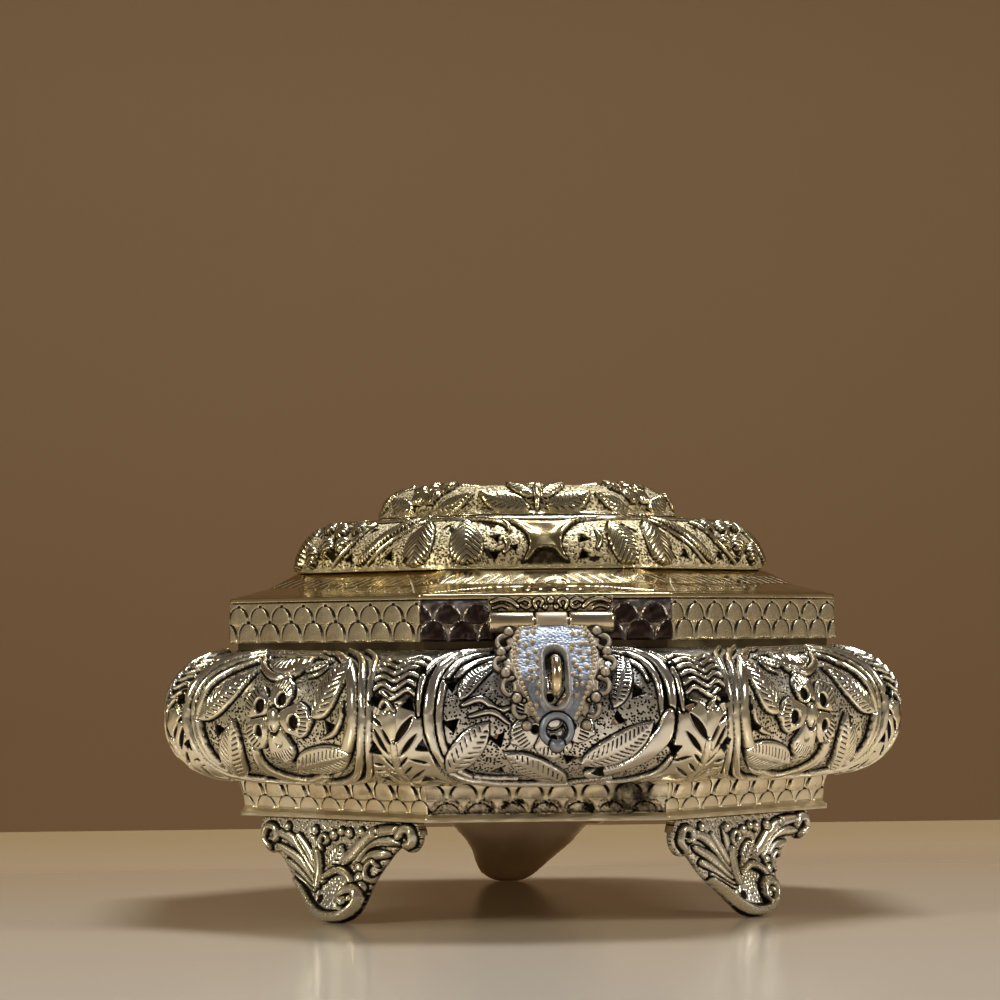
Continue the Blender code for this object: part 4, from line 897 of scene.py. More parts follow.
# %% Ornament of the slanting facets
def flower_ornament(relief):
    """The panel with the large flower, as on the left of the front."""
    for points, width, height in (
        ([(-14, 3.2), (-20.8, 6.2), (-26.4, 11.2), (-29.6, 17.4), (-31.0, 22.6), (-31.0, 27.0),
          (-29.6, 32.6), (-27.4, 38.4), (-23, 44.0), (-15, 48.2), (-4, 49.2)], 2.5, 1.3),
        ([(-11, 5.2), (-17.6, 7.4), (-22.9, 11.6), (-26.4, 16.0), (-28.1, 20.6), (-28.7, 25.2),
          (-27.8, 30.8), (-26.2, 36.4), (-22.2, 42.2), (-16, 46.0)], 1.4, 0.95),
        ([(-10.4, 8.6), (-14.0, 9.6), (-18.6, 12.6), (-23.4, 16.4), (-25.8, 20.8), (-26.8, 25.6),
          (-26.0, 31.0), (-24.4, 36.8), (-20.6, 42.2)], 1.8, 1.1),
        ([(-17.0, 3.0), (-9.0, 3.9), (-2, 4.4), (5.0, 4.7), (10.4, 5.6)], 1.5, 0.85),
        ([(-13.4, 5.8), (-7.4, 6.6), (-1.0, 6.9), (5.0, 7.2), (9.0, 8.4)], 1.3, 0.8),
        ([(16.0, 2.8), (23.6, 7.6), (28.2, 14.4), (30.2, 21.6), (30.2, 28.0), (27.4, 36.0), (21, 43.0),
          (11, 48.2)], 1.7, 1.0),
        ([(11.4, 3.6), (19.4, 8.2), (25.0, 14.4), (28.0, 21.2), (28.2, 27.2), (25.4, 34.6), (18.6, 41.6),
          (9, 46.6), (-2, 49.0)], 2.0, 1.25),
        ([(9.6, 6.0), (15.6, 9.6), (21.0, 14.2), (24.4, 19.6), (25.2, 24.4), (24.0, 29.4), (20.0, 34.6),
          (12.6, 40.2), (3.4, 44.2), (-3.4, 46.0)], 3.1, 1.35),
        ([(-8.0, 31.0), (-9.2, 36.4), (-7.6, 41.4), (-3.6, 45.2), (3, 46.6)], 3.2, 1.2),
    ):
        relief.cord(points, width, height, line=frame_line)
    hanging_leaf(relief)
    relief.leaf((-26.4, 26.0), (-20.5, 22.3), (-10.6, 13.6), 6.2, height=1.15)
    relief.leaf((-22.0, 43.2), (-15.1, 30.2), (-14.6, 25.8), 7.8, height=1.15)
    relief.leaf((12.4, 25.4), (17.2, 20.8), (17.8, 9.4), 7.4, height=1.15)
    relief.leaf((2.6, 37.9), (11.5, 36.6), (22.8, 33.6), 8.0, height=1.2)
    relief.leaf((4.6, 13.0), (8.6, 12.0), (11.2, 9.0), 2.8, height=0.7, vein_gap=1.0)
    relief.cord([(7.6, 15.4), (10.4, 14.2), (11.6, 11.8)], 1.0, 0.6)
    relief.cord([(14.6, 30.2), (18.6, 28.8), (21.0, 25.6), (21.4, 21.6)], 1.4, 0.8)
    middle = np.array([-0.8, 26.0])
    for tip, width in (((-9.6, 20.2), 8.4), ((2.2, 16.2), 7.8), ((-9.6, 30.8), 7.6), ((11.2, 26.0), 8.4),
                       ((1.2, 36.0), 8.6)):
        way = np.array(tip) - middle
        relief.petal(middle + way * 0.16, middle + way, width, height=1.2, stripe=1.05, line=0.6)
    for spot, radius, depth, shade in (
        ((-5.1, 22.7), 1.7, 1.2, 1), ((2.0, 21.2), 1.6, 1.2, 1), ((6.2, 26.4), 1.8, 1.2, 1),
        ((0.5, 30.8), 1.5, 0.5, 0.2), ((-5.6, 28.5), 1.5, 1.2, 1),
    ):
        relief.pit(spot, radius, depth, shade)
    relief.button(middle, 2.1, 1.7, stretch=1.4, line=0.6)
    relief.cut((-0.8, 26.8), (-0.8, 29.0), 0.5, 0.2)


try_drawing(flower_ornament, 32, 48)

# %% [markdown]
# ## Casting a strip or a ring
# The wall, the rim and the plinth are eight castings each. The shoulder, the dome and the platform are one
# piece all round. Both come from the same facet grids: a strip closes one grid by itself, and a ring first
# joins eight of them edge to edge. The relief fades towards the top and bottom edges, where a neighbour
# lies against it, and the metal is darker round each hole, as a punch leaves it.

# %% Front and back of one facet
hole_edge, hole_edge_black = 0.45, 0.35


def cell_mean(grid, ring=False):
    """The mean of the four corners of each cell."""
    after = np.roll(grid, -1, axis=1) if ring else grid[:, 1:]
    here = grid if ring else grid[:, :-1]
    return (here[:-1] + here[1:] + after[:-1] + after[1:]) / 4


def relief_grids(facet, side_line, cell, draw, holes, fold_radius, sheet, regular=False, swell=0.08,
                 edge=1.4, reach=0.9, full=0.42):
    """Front and back places, hole distance, blackening, bare ground and second tone of one facet."""
    across, down = facet_grid(facet, side_line, cell, regular)
    across, down = snap_to_holes(across, down, holes, cell)
    away = holes(across, down) if holes else np.full(across.shape, far_off)
    relief = Relief(across, down)
    draw(relief, facet)
    low = np.clip(np.minimum(down, side_line.length - down) / edge, 0.1, 1)
    height = relief.height * low + swell * waves(across, down, 4.5, 3)
    lip = np.clip(1 - away / hole_edge, 0, 1) * hole_edge_black
    hollows = hollow_shade(height, cell, reach, full)
    black = np.clip(np.maximum(relief.black * low, hollows) + lip, 0, 1)
    spots, facing = facet_surface(facet, side_line, fold_radius, regular)(across, down)
    front, back = spots + facing * height[..., None], spots - facing * sheet
    return front, back, away, black, relief.bare * low, relief.tint


# %% Cast a strip or a ring
def cast_strip(name, facet, node, slot, finish, body, side_line, cell, draw, holes=None, fold_radius=1.2,
               sheet=1.1, **options):
    """A casting on one facet, of the box or of the lid."""
    front, back, away, black, ground, tint = relief_grids(facet, side_line, cell, draw, holes, fold_radius,
                                                          sheet, **options)
    mesh = shell_mesh(name, front, back, cell_mean(away) > 0, black, ground=ground, tint=tint)
    return add_piece(name, mesh, body, finish, [node])


def cast_ring(name, node, slot, finish, side_line, cell, draw, holes=None, fold_radius=1.2, sheet=1.0,
              regular=False, **options):
    """One closed casting round all eight facets, on the lid."""
    parts = []
    for facet in range(8):
        punched = holes(facet) if holes else None
        parts.append(relief_grids(facet, side_line, cell, draw, punched, fold_radius, sheet, regular,
                                  **options))
    front, back, away, black, ground, tint = (np.concatenate([part[k][:, :-1] for part in parts], axis=1)
                                              for k in range(6))
    mesh = shell_mesh(name, front, back, cell_mean(away, True) > 0, black, ring=True, ground=ground,
                      tint=tint)
    if side_line.table[0, 0] < 0.01:
        whole = bmesh.new()
        whole.from_mesh(mesh)
        bmesh.ops.remove_doubles(whole, verts=whole.verts, dist=1e-7)
        whole.to_mesh(mesh)
        whole.free()
    return add_piece(name, mesh, "lid", finish, [node])


# %% [markdown]
# ## Casting the eight panels
# The drawings are now laid on the wall. Bulged panels could be cut from one ring, but the real ones
# are eight castings that meet at the folds, so eight strips are made, and each can be picked up by itself.
# The black fades towards the bottom, a painted light for the table's light on the belly. The bare ground is
# painted darker towards the top, a painted reflection of the dark room, and a painted shade runs along
# the mouth under the rim.

# %% Cast the eight panels
def draw_wall(relief, facet):
    relief.low = -0.5
    _, half = facet_size(facet, wall_line.at(relief.down)[0])
    relief.tint[:] = (facet == 0) * np.clip((half - np.abs(relief.across)) / 14, 0, 1)
    for side in (-1, 1):
        fold_ornament(relief.seen_from(side * half, side if facet % 2 else -side))
    if facet % 2:
        flower_ornament(relief.seen_from(0, -1 if facet in (1, 3) else 1))
    else:
        wreath_ornament(relief.seen_from(0, 1 if facet in (0, 4) else -1))
        if facet:
            hanging_leaf(relief.seen_from(4))
    # The bare ground is painted darker towards the top: a painted reflection of the dark room.
    relief.sink_ground(-0.35, np.clip(0.42 - relief.down / 70, 0, 1)[relief.bare])
    # Painted shade along the mouth, under the rim, darkest on the front.
    relief.black[:] = np.maximum(relief.black, np.clip(1.4 - relief.down / 1.6, 0, 0.5 if facet else 0.9))
    # Painted light: the black fades towards the bottom, for the table's light on the lower belly.
    relief.black *= np.clip(1.4 - relief.down / 60, 0.3, 1)


nearest_facets, coarser = (0, 1, 7), 1.3
for facet, facet_name in enumerate(facet_names):
    cell = wall_cell if facet in nearest_facets else wall_cell * coarser
    cast_strip("panel_" + facet_name, facet, "wall_" + facet_name, "wall_brass", panel_metal, "box",
               wall_line, cell, draw_wall, wall_holes(facet), fold_radius=7.0, sheet=1.15, reach=1.3,
               full=0.5)

# %% [markdown]
# ## Rim and plinth
# The lid's rim and the plinth are upright bands with two rows of scales, like roof tiles. Each scale is a
# shallow dome with a dark cut round its top, and on most strips painted shade darkens its lower end. Single
# tiles could be copied along a band, but the real ones are pressed into it, so a row is drawn at once: each
# place finds its own scale by counting pitches.

# %% Scales
def scale_row(relief, top, tall, wide, pitch, start, height=0.32, line=0.42, dome=0.35, shade=0.0):
    """A row of overlapping round-topped scales, each with a black cut round its top and painted shade towards
    its lower end.
    """
    place = (relief.across - start) / pitch
    x = (place - np.floor(place) - 0.5) * pitch
    y = relief.down - top
    rise = wide / 2 * 1.15
    half = wide / 2 * np.sqrt(np.clip(1 - np.clip(1 - y / rise, 0, 1) ** 2, 0, 1))
    half = half + 0.02 * np.clip(y - rise, 0, 9)
    away = np.where(y > 0, np.abs(x) - half, np.hypot(x, y))
    away = np.maximum(away, -y)
    inside = (away < 0) & (y < tall)
    round_top = np.sqrt(np.clip(-away / (wide * dome), 0, 1))
    relief.height[inside] = (height * (0.25 + 0.75 * round_top))[inside]
    fade = np.clip(1.25 - y / tall, 0.35, 1)
    # Painted shade: each scale darkens towards its lower end, as much as shade asks.
    relief.black[inside] = (shade * np.clip(y / tall * 1.5 - 0.2, 0, 1))[inside]
    rim = (away >= -0.3) & (away < line) & (y < tall)
    cut = np.clip(2 - np.abs(away - 0.1) / line * 1.8, 0, 1) * fade
    relief.black[rim] = np.maximum(relief.black[rim], cut[rim])
    relief.height[rim & (away >= 0)] = -0.12


try_drawing(scale_row, 20, 6, 1, 4, 6, 7, 0)

# %% [markdown]
# ## The rim's strips
# Seven strips of the rim are yellow brass with shallow scales. The front one was blackened all over, and
# only the crests of its fuller scales and some gold in the cuts shine out. Between its scales lie patches of
# a silver-blue tint, partly wear and partly a painted sheen of the cool light above. It gets its own row
# settings here and its own finish below, since a different strip was fitted behind the hasp.

# %% Drawing of the rim
rim_line = SideLine([(74.8, 76.3), (74.8, 66.7)], smooth=False)
band_cell = 0.2


def draw_rim(relief, facet):
    if facet == 0:
        for top, tall, start in ((0.9, 4.6, 1.2), (4.7, 4.9, 4.65)):
            scale_row(relief, top, tall, 6.2, 6.9, start, height=0.95, line=0.28, dome=0.8)
        relief.height += 0.12 * waves(relief.across, relief.down, 2.2, 31)
        # Wear and painted sheen: silver-blue patches in the low places between the scales.
        wear_and_sheen_patches = np.clip(0.6 + 0.5 * waves(relief.across, relief.down, 4, 32), 0, 1)
        relief.tint[:] = np.clip(1 - relief.height / 0.6, 0, 1) * wear_and_sheen_patches
    else:
        start = 3.0 if facet == 1 else 0.66 * facet
        for top, tall, shift in ((0.9, 4.3, 0), (4.75, 4.85, 3.4)):
            scale_row(relief, top, tall, 6.1, 7.5, start + shift, height=0.32, line=0.65, shade=0.25)


print("height of the rim:", round(rim_line.length, 1), "mm")

# %% [markdown]
# ## The plinth's strips
# The plinth steps in below the wall and ends in a thin lip. Its scales are flat and worn. On the front
# strip the lower row is rough, with the blackening still in it and small smooth wedges between, so that
# row is broken up by swells of different sizes before the wedges are laid over it.

# %% Drawing of the plinth
plinth_line = SideLine([(72.9, 34.8), (72.5, 32.48), (71.85, 30.6), (71.2, 26.85), (72.5, 25.5),
                        (72.5, 24.6)], smooth=False)
wedge_pitch = 7.7


def draw_rough_row(relief):
    """The front strip's broken lower row, and the wedges that stand between its scales."""
    def swells(size, seed):
        return waves(relief.across, relief.down, size, seed)

    rough = speckles(relief.across, relief.down, 0.7, 5)
    low = (relief.down > 5.2 + 0.35 * swells(3.0, 12)) & (relief.down < 8.7 + 0.2 * swells(5.0, 14))
    patches = np.clip(0.55 + 0.5 * swells(4.0, 15) - 0.8 * rough, 0, 1)
    relief.height[low] += (0.15 * swells(1.6, 16) - 0.3 * np.clip(1 - rough / 0.5, 0, 1))[low]
    relief.black[low] = np.maximum(relief.black, 0.3 + 0.7 * patches)[low]
    relief.tint[:] = np.clip(0.3 + 0.5 * swells(4.5, 18), 0, 1) * (relief.down < 8.6)
    for number in range(8):
        x = 3.6 - 30.8 + number * wedge_pitch
        relief.field([(x - 1.5, 4.9), (x + 1.5, 4.9), (x + 0.1, 7.6)], 0.5, 0, soft=0.5)
    dark = np.clip((relief.across - 12) / 4, 0, 1) * np.clip((26 - relief.across) / 2, 0, 1)
    dark = dark * (relief.down < 8) * np.clip(0.62 + 0.12 * swells(3.5, 17), 0, 0.9)
    relief.black[:] = np.maximum(relief.black, dark)


def draw_plinth(relief, facet):
    if facet == 0:
        scale_row(relief, 1.1, 4.5, 6.1, wedge_pitch, -0.25, height=0.5, line=0.55, shade=0.5)
        scale_row(relief, 5.9, 2.7, 6.2, wedge_pitch, 3.6, height=0.35, line=0.4, shade=0.6)
        draw_rough_row(relief)
    else:
        scale_row(relief, 0.7, 4.9, 5.8, 7.4, 0.9 * facet, height=0.4, line=0.65, shade=0.35)
        scale_row(relief, 5.2, 3.2, 6.4, 7.4, 0.9 * facet + 3.6, line=0.35, height=0.26)


# %% Cast rim and plinth
for facet, facet_name in enumerate(facet_names):
    cast_strip("rim_band_" + facet_name, facet, "rim_" + facet_name, "rim_brass" if facet else "dark_strip",
               rim_metal if facet else strip_metal, "lid", rim_line, band_cell, draw_rim, edge=0.5,
               swell=0.06)
    cast_strip("plinth_band_" + facet_name, facet, "plinth_" + facet_name, "plinth_brass", plinth_metal,
               "box", plinth_line, band_cell, draw_plinth, sheet=1.2, edge=0.5, swell=0.08)

# %% [markdown]
# ## The lid's shoulder
# One bent sheet slopes from the rim up to the dome. It is smooth and polished, and somebody drew on it
# with a graver: slanting feather strokes, a chain of small scallops and a round mark over the hasp. Each
# stroke is a true groove, which turns bright or dark with the light, and it is also painted lighter than
# the sheet, a painted highlight that is fainter on the wide sides.

# %% Shoulder
shoulder_line = SideLine([(56, 83.6), (58.8, 83.6), (65.2, 80.2), (74.8, 77.6), (74.8, 76.6)], smooth=False)

feather_pitch = 2.7
stroke_depth, wide_stroke_depth = 0.16, 0.05


def draw_shoulder(relief, facet):
    relief.low = 0
    slanting = facet % 2
    drawn = relief.seen_from(0, -1 if facet in (1, 2, 3) else 1)
    _, half = facet_size(facet, 68)
    for number in range(int(half * 2 / feather_pitch) - 2):
        if number % 9 == 7:
            continue
        x = -half + 4 + number * feather_pitch
        lean = 1.6 if x < 2 or slanting else -1.6
        drawn.groove([(x - lean, 9.6), (x - lean * 0.1, 7.6), (x + lean, 5.6)], 0.46,
                     stroke_depth if slanting else wide_stroke_depth)
    if slanting:
        for number in range(7):
            x, y = -11 + number * 5.4, 11.2 + number * 0.75
            drawn.groove([(x, y), (x + 1.6, y + 1.5), (x + 3.4, y + 1.5), (x + 4.9, y + 0.5)], 0.5, 0.16)
            drawn.groove([(x + 2.4, y - 2.6), (x + 3.2, y - 1.3), (x + 3.6, y + 0.2)], 0.4, 0.12)
        drawn.groove([(17.5, 7.2), (22, 11.5), (28, 17.6)], 0.5, 0.15)
    else:
        drawn.groove([(-26, 17.6), (-14, 13.6), (-3, 12.6)], 0.4, 0.25)
        drawn.groove([(5, 12.4), (14, 13.4), (26, 17.4)], 0.4, 0.25)
        drawn.groove([(0.4, 9.9), (1.2, 7.9), (3.0, 7.2), (4.8, 7.9), (5.5, 9.9)], 0.5, 0.35)
        for number in range(6):
            drawn.pit((-7 + number * 3.1, 15.6 + 0.5 * math.sin(number * 2.4)), 0.38, 0.3)
    relief.height -= 0.12 * np.clip(1 - np.abs(relief.down - 18.6) / 0.5, 0, 1)
    # The strokes' painted highlight is fainter on the wide facets.
    relief.black *= 1 if slanting else 0.45


shoulder_cell = 0.27
cast_ring("shoulder", "lid_shoulder", "shoulder_brass", shoulder_metal, shoulder_line, shoulder_cell,
          draw_shoulder, fold_radius=2.2, swell=0.03, edge=0.6)

# %% [markdown]
# ## The dome
# The dome is a second pierced casting. The even sides carry a smooth hollow star, the slanting sides a
# sloping cord and lumps of scrolls, and ribbed leaves stand on both sides of every corner. The ground is
# pebbled, and three-sided holes pierce it. It is one ring, so its relief runs on round the corners.

# %% Side line and holes of the dome
dome_line = SideLine([(38.0, 97.4), (42.4, 96.7), (47.7, 95.85), (51.5, 94.6), (55.0, 92.0), (57.15, 88.9),
                      (58.15, 86.2), (58.5, 83.9)])
star_punches = ((-11.0, 23.6, 1.7, 0.1), (-10.6, 18.9, 1.6, 0.45), (-6.3, 21.8, 1.3, 0.8),
                (10.4, 19.4, 1.7, 0.3), (10.3, 23.9, 1.7, 0.6))
scroll_punches = ((7.0, 23.6, 1.7, 0.55), (-6.4, 23.9, 1.6, 0.2), (-3.0, 15.0, 1.5, 0.7))
mirrored_facets = (1, 3)


def dome_holes(facet):
    flip = -1 if facet in mirrored_facets else 1
    return punched_holes([((x * flip, y), size, turn)
                          for x, y, size, turn in (scroll_punches if facet % 2 else star_punches)])


print("side line of the dome:", round(dome_line.length, 1), "mm")

# %% [markdown]
# ## The star
# In the middle of each even side stands a polished plate with four hollow sides, dished so that it mirrors
# the room. A flat plate would look painted, so its height falls towards the middle along a sine curve. Its
# darker gold tint is a painted reflection of the dark room.

# %% The star
def draw_star(relief):
    """A polished plate with four hollow sides, dished in the middle, over a dark arch, tinted darker as a
    painted reflection.
    """
    outline = smooth_line([(-9.6, 10.4), (-4, 13.2), (1.2, 14.0), (6.5, 13.2), (12.0, 10.2), (8.0, 14.4),
                           (5.6, 18.0), (4.9, 21.0), (5.5, 23.4), (6.7, 25.8), (4.9, 24.4), (3.4, 22.5),
                           (1.2, 22.0), (-1.0, 22.5), (-2.5, 24.4), (-4.3, 25.8), (-3.1, 23.4),
                           (-2.5, 21.0), (-3.2, 18.0), (-5.6, 14.4), (-9.6, 10.4)], 70)
    relief.field([(-3.6, 26.4), (-2.2, 24.0), (-0.8, 22.6), (1.2, 22.2), (3.2, 22.6), (4.6, 24.0),
                  (6.0, 26.4)], 0.15, 0.75)
    near = relief.near(outline.min(0) - 1, outline.max(0) + 1)
    away = outline_distance(relief.across[near], relief.down[near], outline)
    level = 1.15 - 0.62 * np.sin(np.clip(-away / 3.4, 0, 1) * math.pi / 2)
    relief.lay(near, away < 0, level, away, np.zeros_like(away), line=0.7)
    # Painted reflection: the plate is tinted a darker gold, for the dark room it mirrors.
    relief.tint[near] = np.clip(0.5 - away * 1.2, 0, 1)


try_drawing(draw_star, 12, 28)

# %% [markdown]
# ## Leaves and scrolls of the dome
# The ribbed leaves lean out to both sides of every corner and stand highest of all, which gives the dome
# its broken outline. They are drawn after the cords, so that they lie over them, and the punched ground
# comes last, because it only takes what is still bare.

# %% Drawing of the dome
broad_leaf = dict(height=1.4, vein_gap=1.4, lean=-0.9, belly=0.6, ribbed=True)
ground_dots = (1.25, 0.35, 0.0)


def draw_star_side(relief):
    relief.cord([(-23.4, 9.4), (-17, 10.2), (-12, 11.6), (-8.4, 13.6), (-7.0, 16.4)], 1.6, 1.3, thin=0.7)
    relief.cord([(23.4, 9.4), (17, 9.8), (12.4, 10.6), (9.4, 12.4)], 1.6, 1.2, thin=0.7)
    draw_star(relief)
    relief.leaf((-17.6, 26.0), (-18.2, 20), (-17.2, 12.6), 8.2, **broad_leaf)
    relief.leaf((23.0, 26.0), (20.6, 21), (16.4, 13.8), 7.6, **broad_leaf)
    relief.cord([(-8.6, 19.4), (-7.6, 21.4), (-8.8, 23.2)], 1.1, 0.6)
    relief.cord([(13.6, 16.6), (14.4, 19.6), (13.6, 22.4)], 1.1, 0.6)


def draw_scroll_side(drawn):
    drawn.cord([(0.6, 25.4), (4.2, 21.2), (8.4, 16.8), (11.2, 11.6)], 1.2, 0.8, thin=0.6)
    drawn.leaf((-3.0, 25.9), (4.4, 18.4), (9.8, 6.6), 3.0, height=1.3, vein_gap=1.0, lean=-1.2, full=4,
               ribbed=True)
    drawn.leaf((16.6, 26.4), (15.8, 20), (15.2, 12.8), 8.4, **broad_leaf)
    for base, tip in (
        ((-6.8, 17.2), (-9.9, 11.8)), ((-12.0, 18.0), (-15.2, 12.6)), ((-13.2, 23.6), (-16.8, 18.2)),
        ((-18.0, 26.0), (-21.4, 20.4)), ((-8.8, 22.4), (-11.4, 18.4)), ((-17.4, 16.2), (-20.6, 12.4)),
    ):
        middle = (np.array(base) + tip) / 2 + (0.5, 0.4)
        drawn.leaf(base, middle, tip, 4.2, height=1.7, vein_gap=1.3, lean=-0.5, ribbed=True)
    drawn.cord([(-4.6, 12.2), (-7.0, 20.0), (-11.6, 26.0)], 1.3, 1.0)
    drawn.cord([(-22.6, 12.0), (-17.4, 9.2), (-12.4, 9.2)], 1.5, 1.0)


def draw_dome(relief, facet):
    relief.low = -0.25
    if facet % 2:
        draw_scroll_side(relief.seen_from(0, -1 if facet in mirrored_facets else 1))
    else:
        draw_star_side(relief)
    for base, tip, width in (((-13.6, 12.2), (-10.6, 14.6), 2.2), ((-13.4, 22.2), (-10.8, 24.8), 2.0),
                             ((14.2, 24.6), (11.6, 25.2), 1.6), ((-22.4, 14.0), (-20.6, 17.4), 2.0),
                             ((21.6, 12.6), (19.8, 15.6), 1.8)):
        relief.cut(base, tip, width, 0.8)
    for number in range(4):
        x = -15 + number * 10 + facet
        relief.leaf((x, 7.4), (x + 2.5, 5.0), (x + 7, 3.6), 3.4, height=0.5, vein_gap=1.2, ribbed=True)
    relief.cord([(-24, 9.4), (0, 9.0), (24, 9.4)], 1.5, 0.8, thin=0.9)
    relief.stipple(*ground_dots, 41, 0.65)
    relief.black[relief.bare] = np.maximum(relief.black[relief.bare], 0.32)


# %% Cast the dome
dome_cell = 0.33
cast_ring("dome", "lid_dome", "dome_brass", dome_metal, dome_line, dome_cell, draw_dome, dome_holes,
          fold_radius=0.30, regular=True, swell=0.06)

# %% [markdown]
# ## The platform
# The top of the lid is a shallow dish with a raised edge. Its slanting sides carry clusters of round
# petals that break the outline, with large ribbed leaves between them. Its side line starts on the axis,
# so the ring closes there, and the points that meet in the middle are merged into one.

# %% Platform
platform_line = SideLine([(0, 103.8), (3.0, 103.94), (12.44, 104.56), (24.88, 105.3), (30.35, 104.7),
                          (33.55, 103.2), (35.3, 101.6), (36.3, 99.4), (37.7, 97.7)])


def draw_platform(relief, facet):
    relief.low = -0.25
    relief.leaf((0, 24.2), (0.6, 17), (0, 9.5), 8.5, height=0.9, vein_gap=1.4)
    if facet % 2 == 0:
        for base, bend, tip, width in (
            ((-1.2, 39.0), (-7, 38.6), (-13.6, 34.6), 6.2), ((2.8, 39.0), (8.6, 38.6), (14.1, 34.6), 6.0),
            ((-0.4, 36.4), (-2.6, 32), (-6.6, 28.4), 4.4), ((1.6, 36.4), (4.2, 32), (7.8, 28.2), 4.4),
        ):
            relief.leaf(base, bend, tip, width, height=1.2, vein_gap=1.3)
        relief.cord([(0.6, 39.6), (0.7, 35), (0.5, 30)], 1.5, 1.1)
    else:
        drawn = relief.seen_from(0, -1 if facet in mirrored_facets else 1)
        middle = np.array([-2.0, 32.0])
        for turn in range(6):
            way = np.array([math.cos(math.tau * turn / 6), math.sin(math.tau * turn / 6)])
            drawn.petal(middle + way * 0.8, middle + way * 5.9, 4.9, height=1.5, stripe=0.9)
        drawn.button(middle, 1.9, 1.8)
        drawn.leaf((-4.6, 39.2), (-9, 38.8), (-13.4, 35.4), 4.6, height=1.1, vein_gap=1.2)
        drawn.leaf((3.4, 39.2), (8, 38.8), (13.2, 35.0), 4.8, height=1.1, vein_gap=1.2)
    relief.stipple(*ground_dots, 42, 0.65)
    relief.black[relief.bare] = np.maximum(relief.black[relief.bare], 0.42)


cast_ring("platform", "lid_platform", "dome_brass", dome_metal, platform_line, dome_cell, draw_platform,
          fold_radius=0.30, regular=True, swell=0.06)

# %% [markdown]
# ## Castings with an outline
# The legs and the hasp's plate are flat castings with an outline of their own. They could be cut out of a
# sheet with curves, but their relief has to run right up to the edge. So their outline is a distance that
# is negative inside, the grid that carries the relief is trimmed to it, and the front rolls over towards
# the edge as it does on a real casting.

# %% Castings with an outline
def trimmed_grid(low, high, cell, edge):
    """A grid over a rectangle, with the corners near the outline moved onto it."""
    across, down = np.meshgrid(np.arange(low[0], high[0], cell), np.arange(low[1], high[1], cell))
    return snap_to_holes(across, down, lambda x, y: -edge(x, y), cell)


def edge_roll(inside, width):
    """How far a front has risen at a distance inside its edge, from 0 to 1."""
    return np.sqrt(np.clip(1 - (1 - np.clip(inside / width, 0.02, 1)) ** 2, 0, 1))


# %% [markdown]
# ## The legs
# Three legs of one pattern are soldered under the plinth: scrolls that spring from a foot, a leaf between
# them, and balls along the top. A leg bends outward a little on its way down. The rear one is plainer in
# finish, a browner bronze with little black in it, and is painted lighter than the legs in front, as
# painted light for a leg that stands in shade.

# %% Outline of a leg
leg_top = 24.3
leg_line = [
    (-25.6, 0), (-26.6, 2.4), (-26.8, 5.0), (-25.6, 7.5), (-23.4, 8.7), (-21.0, 8.6), (-19.6, 9.6),
    (-18.0, 11.3), (-15.6, 13.8), (-12.8, 16.2), (-9.7, 18.8), (-6.9, 21.3), (-3.3, 23.6), (1.1, 24.3),
    (5.6, 23.7), (8.9, 21.6), (10.5, 18.6), (11.4, 15.7), (13.2, 12.5), (15.6, 9.8), (17.8, 7.5),
    (19.8, 6.1), (21.4, 6.2), (23.0, 7.0), (25.0, 6.6), (26.6, 4.8), (27.0, 2.2), (25.8, 0),
]
leg_lean = SideLine([(0.0, 24.3), (0.0, 18.0), (0.2, 13.0), (1.0, 9.0), (2.1, 5.5), (2.9, 2.6), (3.1, 0)])


def leg_edge(across, down):
    return outline_distance(across, down, smooth_line(leg_line, 90))


print("a leg is", leg_top, "mm high and", round(leg_line[-2][0] - leg_line[2][0], 1), "mm wide")

